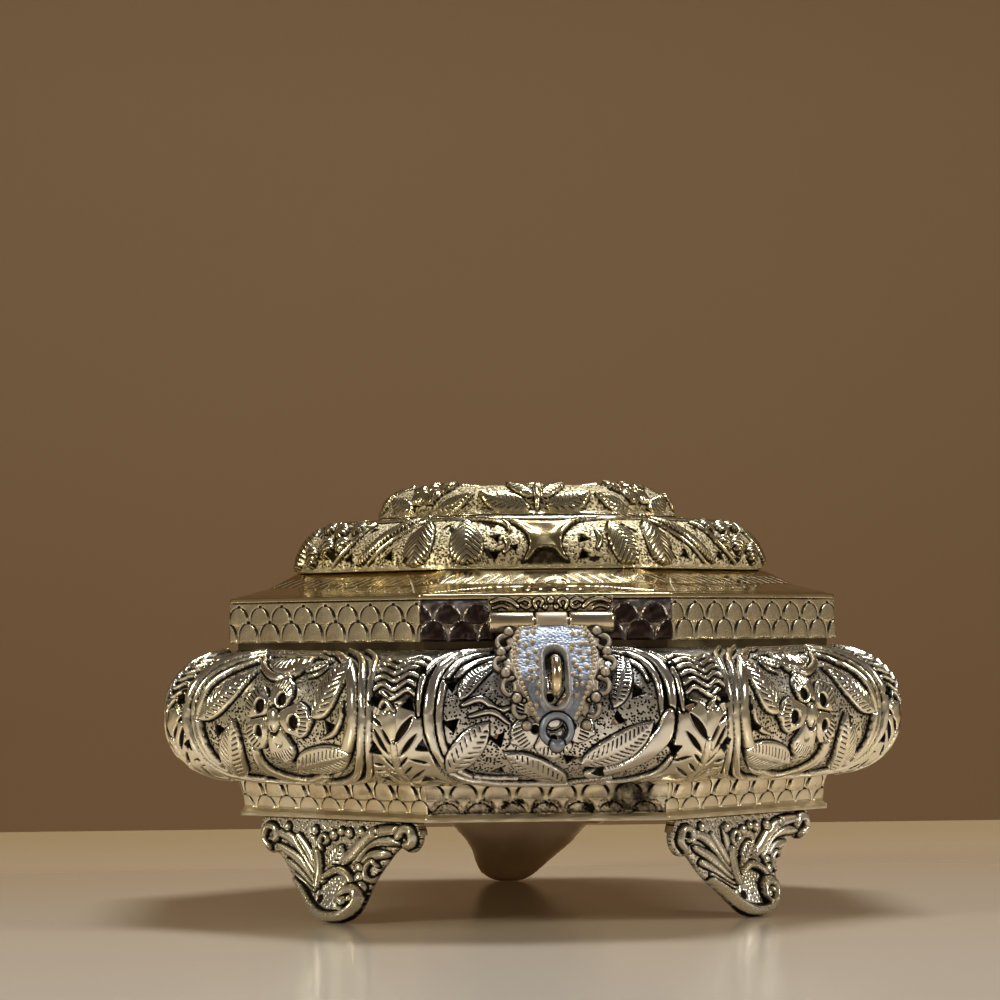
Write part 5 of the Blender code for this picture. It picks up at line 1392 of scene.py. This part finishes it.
# %% Ornament of a leg
def draw_leg(relief):
    relief.low = -0.7
    for points, width, height in (
        ([(-5.8, 16.6), (-9.6, 14.2), (-13.4, 13.4)], 2.4, 0.9),
        ([(-5.9, 15.6), (-11.4, 12.4), (-17.0, 10.4)], 2.2, 1.0),
        ([(-5.8, 14.6), (-12.2, 10.0), (-19.4, 6.8)], 2.3, 1.1),
        ([(-5.6, 13.4), (-10.8, 7.8), (-15.6, 4.6), (-20.6, 3.4)], 2.6, 1.3),
        ([(-5.4, 12.4), (-9.4, 7.6), (-12.8, 4.0)], 2.2, 1.2),
        ([(-5.2, 11.4), (-7.0, 6.4), (-8.4, 2.6)], 2.0, 1.1),
        ([(-4.8, 15.8), (-5.3, 11.6), (-5.9, 7.6)], 2.5, 1.7),
        ([(9.0, 9.4), (12.4, 8.0), (16.8, 7.6)], 2.4, 1.1),
        ([(6.6, 10.0), (10.0, 5.8), (14.6, 4.4), (20.4, 4.8)], 2.6, 1.3),
        ([(-3.2, 14.4), (-0.6, 10.8), (4.8, 8.4), (8.6, 5.0), (13.4, 2.4), (20.4, 1.6)], 3.0, 1.5),
    ):
        relief.cord(points, width, height, thin=0.6)
    relief.leaf((-1.8, 11.6), (0.4, 9.0), (2.6, 5.8), 4.4, height=1.5, vein_gap=1.2)
    for x, y, radius in (
        (-7.2, 2.6, 1.2), (-0.8, 3.6, 1.3), (1.8, 2.6, 1.1), (4.4, 3.0, 1.3), (8.4, 2.6, 1.2),
        (7.9, 11.2, 1.3), (8.2, 13.4, 1.4), (9.3, 15.6, 1.5), (-16.6, 2.0, 1.1), (13.6, 2.2, 0.9),
    ):
        relief.button((x, y), radius, 1.4)
    turns = [(-3.6 + (2.1 - 0.22 * k) * math.cos(k * 0.8 + 2), 5.1 + (2.1 - 0.22 * k) * math.sin(k * 0.8 + 2))
             for k in range(8)]
    relief.cord(turns, 1.2, 1.5, thin=0.8)
    relief.cord([(13.6, 10.4), (12.0, 9.4), (10.2, 10.8), (10.4, 13.0), (12.2, 14.0), (14.0, 12.6)], 1.3, 1.4,
                thin=0.8)
    relief.cord([(15.2, 11.4), (14.6, 14.2), (12.4, 16.6), (11.0, 17.4)], 1.6, 1.2, thin=0.6)
    relief.cord([(-22.8, 7.2), (-24.8, 5.0), (-23.6, 2.2), (-20.6, 2.6), (-20.4, 5.0), (-22.2, 5.2)],
                1.9, 1.6, thin=0.8)
    relief.cord([(22.6, 5.6), (25.0, 4.4), (24.6, 1.8), (22.0, 1.4), (20.6, 3.2)], 2.3, 1.6, thin=0.8)
    relief.pit((22.6, 3.2), 0.9, 1.2)
    relief.pit((-21.6, 6.0), 0.8, 1.2)
    relief.cord([(-2.8, 13.4), (1.1, 11.8), (5.0, 13.0), (7.0, 15.6), (7.0, 18.2)], 1.9, 1.9, thin=0.7)
    relief.cord([(-13.6, 15.0), (-9.6, 17.6), (-6.2, 20.4), (-2.0, 22.4), (3.4, 22.6), (7.8, 20.8),
                 (9.4, 17.8), (7.6, 15.9), (4.6, 16.4), (3.4, 18.6), (4.8, 20.2)], 2.5, 2.3, thin=0.7)
    relief.button((4.9, 18.7), 1.1, 1.9)
    relief.pit((-3.4, 18.8), 1.2, 1.4)
    relief.stipple(0.9, 0.3, 0.0, 9)


try_drawing(draw_leg, 27, leg_top)

# %% [markdown]
# ## Three castings of one pattern
# A founder presses one pattern into sand three times. Linked copies could do the same, but the rear leg is
# finished differently, in a browner bronze that is painted lighter for the shade it stands in, so one
# function casts each leg under the middle of its facet.

# %% Cast the legs
leg_cell = 0.22
leg_stand = 69.0


def cast_leg(name, facet, finish, behind):
    """One leg, from the common pattern, under the middle of a facet."""
    across, down = trimmed_grid((-27.4, 0), (27.6, leg_top + 0.001), leg_cell, leg_edge)
    down = np.clip(down, 0, leg_top)
    away = leg_edge(across, down)
    relief = Relief(across, down)
    draw_leg(relief)
    roll = edge_roll(np.where(down < 3, np.maximum(-away, 1.2), -away), 2.6)
    lean = np.interp(down, leg_lean.far, leg_lean.table[:, 0])
    bulge = 1.0 + 1.4 * (down / leg_top) ** 2 * np.exp(-((across - 2) / 9) ** 2)
    angle = facet * facet_turn - math.pi / 2
    stand = leg_stand + facet_size(facet, rim_reach)[0] - rim_reach

    def leg_spots(depth):
        forward = stand + lean + depth
        return np.stack([forward * math.cos(angle) - across * math.sin(angle),
                         forward * math.sin(angle) + across * math.cos(angle) + box_axis_y,
                         leg_top - down], -1)

    black = np.clip(np.maximum(relief.black, hollow_shade(relief.height, leg_cell)), 0, 1)
    mesh = shell_mesh(name + "_casting", leg_spots(0.25 + (bulge + relief.height) * roll),
                      leg_spots(-0.25 - 1.5 * roll), cell_mean(away) < 0, black, behind=behind)
    add_piece(name + "_casting", mesh, "box", finish, [name])


cast_leg("leg_front_left", 7, leg_metal, 0.55)
cast_leg("leg_front_right", 1, leg_metal, 0.55)
# The rear leg's lighter bronze and little black on its back are painted light, since it stands in shade.
cast_leg("leg_back", 4, bronze_painted_light_metal, 0.1)

# %% [markdown]
# ## Round bars and barrels
# Hinge knuckles, pins and the staple are bars drawn along a line. A bevelled curve would do for one of
# them, but a barrel needs slightly worn ends, so that light catches its edges. A ring of points at each
# place, with a radius of its own, makes both.

# %% Bars
bar_sides = 28


def bar_mesh(name, path, radii, sides=bar_sides):
    """A closed round bar along a line of points, in millimetres, with a radius at each point."""
    path = [Vector(point) for point in path]
    shape = bmesh.new()
    rings = []
    for index, (point, radius) in enumerate(zip(path, radii)):
        run = (path[min(index + 1, len(path) - 1)] - path[max(index - 1, 0)]).normalized()
        first = Vector((1, 0, 0)) if abs(run.x) < 0.5 else Vector((0, 1, 0))
        first = (first - run * first.dot(run)).normalized()
        second = run.cross(first)
        ring = []
        for side in range(sides):
            turn = math.tau * side / sides
            outward = first * math.cos(turn) + second * math.sin(turn)
            ring.append(shape.verts.new((point + outward * radius) * mm))
        rings.append(ring)
    for lower, upper in zip(rings, rings[1:]):
        for index in range(sides):
            after = (index + 1) % sides
            face = shape.faces.new((lower[index], lower[after], upper[after], upper[index]))
            face.smooth = True
    shape.faces.new(rings[0][::-1])
    shape.faces.new(rings[-1])
    bmesh.ops.recalc_face_normals(shape, faces=shape.faces)
    mesh = bpy.data.meshes.new(name)
    shape.to_mesh(mesh)
    shape.free()
    return mesh


worn_ends = ((0, 0.86), (0.12, 0.95), (0.35, 1.0))


def barrel(name, middle, half, radius, body, finish, node):
    """A barrel along X with rounded ends."""
    line = [(-half + along, share) for along, share in worn_ends]
    line += [(half - along, share) for along, share in worn_ends[::-1]]
    path = [(middle[0] + along, middle[1], middle[2]) for along, _ in line]
    mesh = bar_mesh(name, path, [radius * share for _, share in line])
    return add_piece(name, mesh, body, finish, [node])


# %% [markdown]
# ## The hasp's fixed leaf
# A small leaf with scrolls is fixed to the rim, and its knuckles hold the plate's knuckle on a pin. The
# leaf is a strip of the front facet with a relief, like a piece of the rim, so it is cast in the same way.
# The middle knuckle belongs to the plate and swings with it.

# %% Hasp leaf
hasp_x, hasp_y, hasp_z = 1.0, -74.1, 71.02
leaf_line = SideLine([(75.99, 77.2), (75.99, 73.7)], smooth=False)
leaf_half, leaf_rows, leaf_sheet = 14.5, 18, 0.85


def draw_hasp_leaf(relief):
    relief.low = -0.2
    for side in (-1, 1):
        half = relief.seen_from(hasp_x, side)
        half.cord([(13.8, 1.4), (11.6, 0.7), (9.2, 1.2), (7.6, 2.6)], 0.9, 0.55, thin=0.8)
        half.cord([(13.4, 2.8), (11.4, 2.2), (9.8, 2.9)], 0.8, 0.5, thin=0.8)
        half.cord([(7.4, 1.2), (6.0, 0.7), (4.6, 1.7), (5.6, 2.8), (6.8, 2.2)], 0.8, 0.55, thin=0.9)
        half.cord([(3.4, 2.9), (3.9, 1.5), (2.9, 0.6), (1.9, 1.4), (2.3, 2.4)], 0.75, 0.55, thin=0.9)
    relief.button((hasp_x, 1.0), 0.85, 0.7)
    relief.button((hasp_x + 1.3, 2.6), 0.6, 0.5)
    relief.button((hasp_x - 1.3, 2.6), 0.6, 0.5)
    relief.stipple(0.6, 0.25, -0.05, 3)


columns = int(2 * leaf_half / band_cell)
across = np.repeat(np.linspace(hasp_x - leaf_half, hasp_x + leaf_half, columns)[None, :], leaf_rows, axis=0)
down = np.repeat(np.linspace(0, leaf_line.length, leaf_rows)[:, None], columns, axis=1)
relief = Relief(across, down)
draw_hasp_leaf(relief)
height = relief.height * np.clip(np.minimum(down, leaf_line.length - down) / 0.4, 0.2, 1)
spots, facing = facet_surface(0, leaf_line, 1e-3)(across, down)
mesh = shell_mesh("hasp_leaf", spots + facing * height[..., None], spots - facing * leaf_sheet,
                  np.ones((leaf_rows - 1, columns - 1), bool),
                  np.maximum(relief.black, hollow_shade(height, band_cell)))
add_piece("hasp_leaf", mesh, "lid", fitting_metal, ["hasp_lid_leaf"])

# %% Knuckles and pin
for side, name in ((-1, "left"), (1, "right")):
    middle = (hasp_x + side * 9.3, hasp_y, hasp_z)
    barrel("hasp_knuckle_" + name, middle, 5.15, 2.4, "lid", fitting_metal, "hasp_lid_leaf")
barrel("hasp_pin_bar", (hasp_x, hasp_y, hasp_z), 14.6, 1.15, "lid", pin_metal, "hasp_pin")
knuckle = barrel("shield_knuckle", (hasp_x, hasp_y, hasp_z), 3.65, 2.35, "hasp",
                 shield_metal, "hasp_shield")
mark_points(knuckle.data, "tint", np.ones(len(knuckle.data.vertices)))

# %% [markdown]
# ## The hasp's plate
# The plate is a heart-like shield of pale grey metal sprinkled with gold grains, with curled hooks down its
# sides, a slot for the staple and a ring with a knob to lift it by. Its outline is half drawn and half
# mirrored, and hooks, balls, slot and ring are joined to it and cut from it as distances, which keeps
# every join round. Heights are told from the table up, since the plate has to meet the staple.

# %% Places on the plate
shield_bend = SideLine([(77.9, 71.6), (79.0, 70.0), (82.2, 67.2), (87.1, 61.4), (90.0, 57.9), (91.5, 53.8),
                        (91.9, 49.7), (91.9, 41.0)])
hook_spots = ((11.2, 65.9), (12.1, 61.0), (10.4, 56.2), (8.0, 51.3))
ball_spots = ((10.2, 68.1), (12.2, 63.6), (11.4, 58.9), (9.0, 53.6), (6.8, 47.5))


def bend_down(height):
    """Distance down the plate at a height above the table."""
    return np.interp(-np.asarray(height, float), -shield_bend.table[:, 1], shield_bend.far)


def on_shield(x, height):
    return x, float(bend_down(height))


half_line = ((3.7, 71.2), (3.9, 69.9), (8.0, 69.4), (9.7, 67.4), (10.6, 64.3), (10.5, 61.5), (9.7, 58.6),
             (8.4, 55.4), (7.0, 52.4), (5.6, 49.8), (4.4, 48.0))
body_line = [on_shield(-x, height) for x, height in half_line]
body_line += [on_shield(x, height) for x, height in half_line[::-1]]
slot_ends = (float(bend_down(62.6)), float(bend_down(54.0)))
ring_middle = on_shield(0, 46.5)
print("slot of the plate:", round(slot_ends[1] - slot_ends[0], 1), "mm between the centres of its ends")

# %% Edge of the plate
slot_radius, hook_radius, ball_radius = 2.2, 2.45, 1.3
ring_radius, ring_hole, stem_half = 4.2, 2.2, 1.1


def slot_distance(across, down):
    return np.hypot(across, down - np.clip(down, *slot_ends))


def shield_edge(across, down):
    """Distance outside the plate's metal, negative within it."""
    x = np.abs(across)
    away = outline_distance(across, down, body_line)
    for spots, radius in ((hook_spots, hook_radius), (ball_spots, ball_radius)):
        for middle_x, height in spots:
            away = np.minimum(away, np.hypot(x - middle_x, down - bend_down(height)) - radius)
    ring = np.hypot(across - ring_middle[0], down - ring_middle[1])
    away = np.minimum(away, ring - ring_radius)
    away = np.minimum(away, np.hypot(across, down - ring_middle[1] - 3.6) - 1.8)
    for middle_x, height in hook_spots:
        away = np.maximum(away, 1.1 - np.hypot((x - middle_x - 0.2) * 1.25, (down - bend_down(height)) * 0.8))
    away = np.maximum(away, np.minimum(np.maximum(ring_hole - ring, stem_half - x), ring_hole - ring))
    return np.maximum(away, slot_radius - slot_distance(across, down))


# %% [markdown]
# ## Grains on the plate
# Small gold grains were strewn over the grey sheet and soldered down, and the plate is pitted between them.
# A particle system could strew them, but it would have to be fixed afterwards. Here each grain is a raised
# half ball in the grid, in rows that chance shifts a little, always by the same draws. The border's
# grains follow the outline, and the edge and a ridge round the slot are gold too.

# %% Grains and pits
rng = np.random.default_rng(7)
grain_radius, grain_reach, border_grains = 0.5, 0.7, 26


def grain_spots():
    """Places of the grains: along the border, and in shifted rows over the field."""
    grains = []
    border = smooth_line([(x * 0.86, y) for x, y in body_line[1:11]], border_grains)
    for side in (-1, 1):
        grains += [(side * x, y) for x, y in border]
        for row_x in np.arange(4.3, 9.4, 1.75):
            for row_z in np.arange(50.5, 70, 1.9):
                spot_x, spot_z = row_x + rng.uniform(-0.5, 0.5), row_z + rng.uniform(-0.6, 0.6)
                if spot_x < 8.9 - abs(spot_z - 65) * 0.32:
                    grains.append((side * spot_x, float(bend_down(spot_z))))
    return grains


def lay_grains(relief, gold, grains):
    for grain_x, grain_y in grains:
        away = np.hypot(relief.across - grain_x, relief.down - grain_y)
        near = away < grain_reach
        ball = 0.5 * np.sqrt(np.clip(1 - (away[near] / grain_radius) ** 2, 0, 1))
        relief.height[near] = np.maximum(relief.height[near], ball)
        gold[near] = np.maximum(gold[near], 1)
        relief.black[near & (away > grain_radius)] = 0.55


# %% Ornament of the plate
def arc(middle_x, middle_y, radius_x, radius_y, step, start, count):
    """Points on a part of an ellipse."""
    turns = [k * step + start for k in range(count)]
    return [(middle_x + radius_x * math.cos(turn), middle_y + radius_y * math.sin(turn)) for turn in turns]


def draw_shield(relief):
    """Returns where the plate is gold instead of grey."""
    relief.low = -0.25
    x, y = relief.across, relief.down
    body = outline_distance(x, y, body_line)
    gold = np.where(body > -0.9, 0.8, 0.0)
    relief.height += 0.3 * np.exp(-((body + 0.7) / 0.45) ** 2)
    pitted = speckles(x, y, 0.75, 21)
    relief.height -= 0.16 * np.clip(1 - pitted / 0.45, 0, 1)
    relief.black += 0.5 * np.clip(1 - pitted / 0.3, 0, 1)
    ridge = np.exp(-((slot_distance(x, y) - 2.9) / 0.55) ** 2)
    relief.height += 0.9 * ridge
    gold = np.maximum(gold, 0.55 * ridge)
    lay_grains(relief, gold, grain_spots())
    relief.bare[body < -0.5] = False
    for side in (-1, 1):
        half = relief.seen_from(0, side)
        for middle_x, height in hook_spots:
            hook = arc(middle_x, float(bend_down(height)), 1.75, 1.9, 0.55, -1.9, 8)
            half.cord(hook, 1.2, 0.9, thin=0.8)
        for ball_x, height in ball_spots:
            half.button(on_shield(ball_x, height), 1.15, 1.3)
    relief.cord(arc(0, ring_middle[1], 3.3, 3.3, 0.45, 0, 15), 1.6, 1.0, thin=0.9)
    relief.button((0, ring_middle[1] + 3.4), 1.75, 2.1)
    outer = body > -0.3
    gold[outer] = np.maximum(gold[outer], 0.75)
    gold[np.hypot(x, y - ring_middle[1] - 1.2) < 5.4] = 0
    return gold


# %% [markdown]
# ## Casting the plate
# The plate follows the belly of the wall. Bending a finished flat plate would pull its slot out of shape, so
# the grid is laid on the bent side line at once, and the slot meets the staple.

# %% Cast the plate
shield_cell = 0.15
shield_roll = 0.9
across, down = trimmed_grid((-15, 0), (15.05, shield_bend.length), shield_cell, shield_edge)
away = shield_edge(across, down)
relief = Relief(across, down)
gold = draw_shield(relief)
relief.height += 0.05 * waves(across, down, 3.0, 6)
roll = edge_roll(-away, shield_roll)
reach, height_here, out, rise = shield_bend.at(down)


def shield_spots(depth):
    return np.stack([across + hasp_x, -(reach + out * depth) + box_axis_y, height_here + rise * depth], -1)


black = np.clip(np.maximum(relief.black, hollow_shade(relief.height, shield_cell)), 0, 1)
mesh = shell_mesh("shield_plate", shield_spots(0.1 + (0.75 + relief.height) * roll),
                  shield_spots(-0.15 - 0.65 * roll), cell_mean(away) < 0, black, tint=gold)
add_piece("shield_plate", mesh, "hasp", shield_metal, ["hasp_shield"])

# %% [markdown]
# ## The staple
# A bar bent to a loop stands out of the front panel, and its arch passes through the plate's slot, where a
# padlock would hold it. It is one bar along two straight ends and a half circle between them.

# %% Staple
staple_top, staple_low, bend_y, bend_middle = 62.5, 54.5, -86.8, 58.5
bend_steps = 12
staple_path = [(1, -82.3, staple_top), (1, bend_y, staple_top), (1, -88.3, 62.4)]
for step in range(bend_steps + 1):
    angle = math.pi / 2 - math.pi * step / bend_steps
    staple_path.append((1, bend_y - 4.1 * math.cos(angle), bend_middle + 4.0 * math.sin(angle)))
staple_path += [(1, -86.4, staple_low), (1, -85.4, staple_low)]
staple_mesh = bar_mesh("staple_loop", staple_path, [1.1] * len(staple_path), 20)
add_piece("staple_loop", staple_mesh, "box", staple_metal, ["staple"])
print("staple stands out to", round(min(y for _, y, _ in staple_path) - 1.1, 1), "mm")

# %% [markdown]
# ## Pieces that stay as they were packed
# The bottom plate, the collar inside the mouth and the rear hinge are plain sheet and barrel work, so the
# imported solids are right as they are. A bevel modifier softens their edges, since no real edge is
# perfectly sharp, and they get their finish.

# %% Plain pieces
plain_pieces = {"base_plate": inner_metal, "mouth_collar": collar_metal, "rear_hinge_box_leaf": fitting_metal,
                "rear_hinge_lid_leaf": fitting_metal, "rear_hinge_pin": pin_metal}
soft_edge = 0.00015
for name, finish in plain_pieces.items():
    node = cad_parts[name]
    node.data.materials.clear()
    node.data.materials.append(finish)
    soft = node.modifiers.new("soft edges", "BEVEL")
    soft.width, soft.segments, soft.limit_method = soft_edge, 2, "ANGLE"
print("still plain:", [name for name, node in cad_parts.items() if not node.hide_render])

# %% [markdown]
# ## Table and backdrop
# The box stands on a pale table that shines a little and lights the lower half of every bulge, and the
# room behind is a plain warm brown. Both are single flat sheets: what matters is their tone, which changes
# slowly from near to far, and that the table is glossy enough to hold a dim reflection. The table is painted
# darker and more golden towards the back, partly painted shade and partly a painted reflection of the
# brown backdrop, and the backdrop is painted lighter higher up, as painted light.

# %% Table and backdrop
def plain_finish(name, axis, near, far, roughness, specular=0.5):
    """A plain surface whose tone changes slowly along one axis, from (place, colour) to (place, colour)."""
    material, tree, shader = new_material(name)
    place = node_output(tree, "TexCoord", "Object", {})
    cloud = node_output(tree, "TexNoise", "Fac", {"Vector": place, "Scale": 6.0, "Detail": 2.0})
    along = stretch(tree, node_output(tree, "SeparateXYZ", axis, {0: place}), near[0], far[0])
    uneven = reckon(tree, "MULTIPLY_ADD", cloud, 0.15, along)
    tree.links.new(blend(tree, uneven, near[1], far[1]), shader.inputs["Base Color"])
    shader.inputs["Roughness"].default_value = roughness
    shader.inputs["Specular IOR Level"].default_value = specular
    return material


def flat_sheet(name, corners, finish):
    mesh = bpy.data.meshes.new(name)
    mesh.from_pydata(corners, [], [(0, 1, 2, 3)])
    sheet = bpy.data.objects.new(name, mesh)
    bpy.context.scene.collection.objects.link(sheet)
    mesh.materials.append(finish)
    return sheet


# The table's far tone, darker and more golden, is painted shade and a painted reflection of the backdrop.
table_finish = plain_finish("table_finish", "Y", (-0.2, (0.64, 0.58, 0.50)), (0.3, (0.52, 0.385, 0.21)), 0.16)
# The backdrop is painted lighter higher up: painted light.
backdrop_finish = plain_finish("backdrop_finish", "Z", (0, (0.33, 0.20, 0.105)), (0.55, (0.40, 0.265, 0.152)),
                               0.9, 0.1)
flat_sheet("table_top", [(-1.6, -1.5, 0), (1.6, -1.5, 0), (1.6, 0.335, 0), (-1.6, 0.335, 0)], table_finish)
flat_sheet("backdrop", [(-3, 1.8, -0.6), (3, 1.8, -0.6), (3, 1.8, 2.4), (-3, 1.8, 2.4)], backdrop_finish)
print("stage: a table and a backdrop")

# %% [markdown]
# ## Lamps
# Polished brass shows its surroundings more than its own colour, so a lamp is seen in every crest. Small
# lamps would make hard glints. Three soft rectangles are used instead: a cool one above and behind, and a
# warm one on each side, the left one yellower. All are turned to the middle of the box.

# %% Lamps
lamp_target = Vector((0, 0, 0.05))


def soft_lamp(name, place, size, watts, colour=(1, 1, 1)):
    data = bpy.data.lights.new(name, "AREA")
    data.shape = "RECTANGLE"
    data.size, data.size_y = size
    data.energy = watts
    data.color = colour
    lamp = bpy.data.objects.new(name, data)
    lamp.location = place
    lamp.rotation_euler = (lamp_target - Vector(place)).to_track_quat("-Z", "Y").to_euler()
    bpy.context.scene.collection.objects.link(lamp)
    return lamp


soft_lamp("lamp_above", (0.15, 0.32, 1.22), (0.5, 0.32), 14, (0.95, 0.97, 1.0))
soft_lamp("lamp_left", (-1.1, -0.7, 0.7), (0.22, 0.34), 8, (1.0, 0.94, 0.74))
soft_lamp("lamp_right", (1.2, -0.5, 0.8), (0.22, 0.34), 7.5, (1.0, 0.94, 0.86))
print("lamps:", [(lamp.name, lamp.energy) for lamp in bpy.data.lights])

# %% [markdown]
# ## The room
# The metal also mirrors the room, and a real room is brighter below, where the table throws light back,
# than at its ceiling. A picture of a room would do it, but no picture is needed for a slow change of tone:
# the world blends two warm greys by how high a direction points.

# %% World
world = bpy.data.worlds.new("room")
world.use_nodes = True
room = world.node_tree
facing_up = node_output(room, "SeparateXYZ", "Z", {0: node_output(room, "TexCoord", "Generated", {})})
shade = blend(room, stretch(room, facing_up, 0.05, 0.65), (0.20, 0.168, 0.128), (0.088, 0.074, 0.068))
room.links.new(shade, room.nodes["Background"].inputs["Color"])
bpy.context.scene.world = world
print("world:", world.name)

# %% [markdown]
# ## The camera
# The photograph was taken with a long lens at table height, close to the level of the lid's rim. Its place
# was fitted to the corners of rim, plinth and toes: how far off and how high it stands, how far it is
# turned round the box, and its small roll and pitch. From these the three axes of the camera follow, which
# is safer than turning it by hand.

# %% Camera
camera_data = bpy.data.cameras.new("camera")
camera_data.lens, camera_data.sensor_width = 115.2, 36
camera_data.clip_end = 20
camera = bpy.data.objects.new("camera", camera_data)
bpy.context.scene.collection.objects.link(camera)
camera_far, camera_height, camera_side = 820.55, 67.54, 6.533
camera_turn, camera_roll, camera_pitch = 0.053, -0.0093, 0.043
cosine, sine = math.cos(camera_turn), math.sin(camera_turn)
level_right = Vector((cosine, -sine, 0))
forward = Vector((sine * math.cos(camera_pitch), cosine * math.cos(camera_pitch), math.sin(camera_pitch)))
level_up = level_right.cross(forward)
right = level_right * math.cos(camera_roll) + level_up * math.sin(camera_roll)
upward = level_up * math.cos(camera_roll) - level_right * math.sin(camera_roll)
spot = Vector((-camera_side * cosine - camera_far * sine,
               camera_side * sine - camera_far * cosine + box_axis_y, camera_height)) * mm
camera.matrix_world = Matrix.Translation(spot) @ Matrix((right, upward, -forward)).transposed().to_4x4()
bpy.context.scene.camera = camera
bpy.context.scene.view_settings.view_transform = "Standard"
print("camera at", [round(part, 3) for part in spot], "m")

# %% [markdown]
# ## The end
# The dressed box should be as large as the imported one, give or take its relief. The scene ends with one
# more update of the view layer.

# %% Update the view layer
bpy.context.view_layer.update()
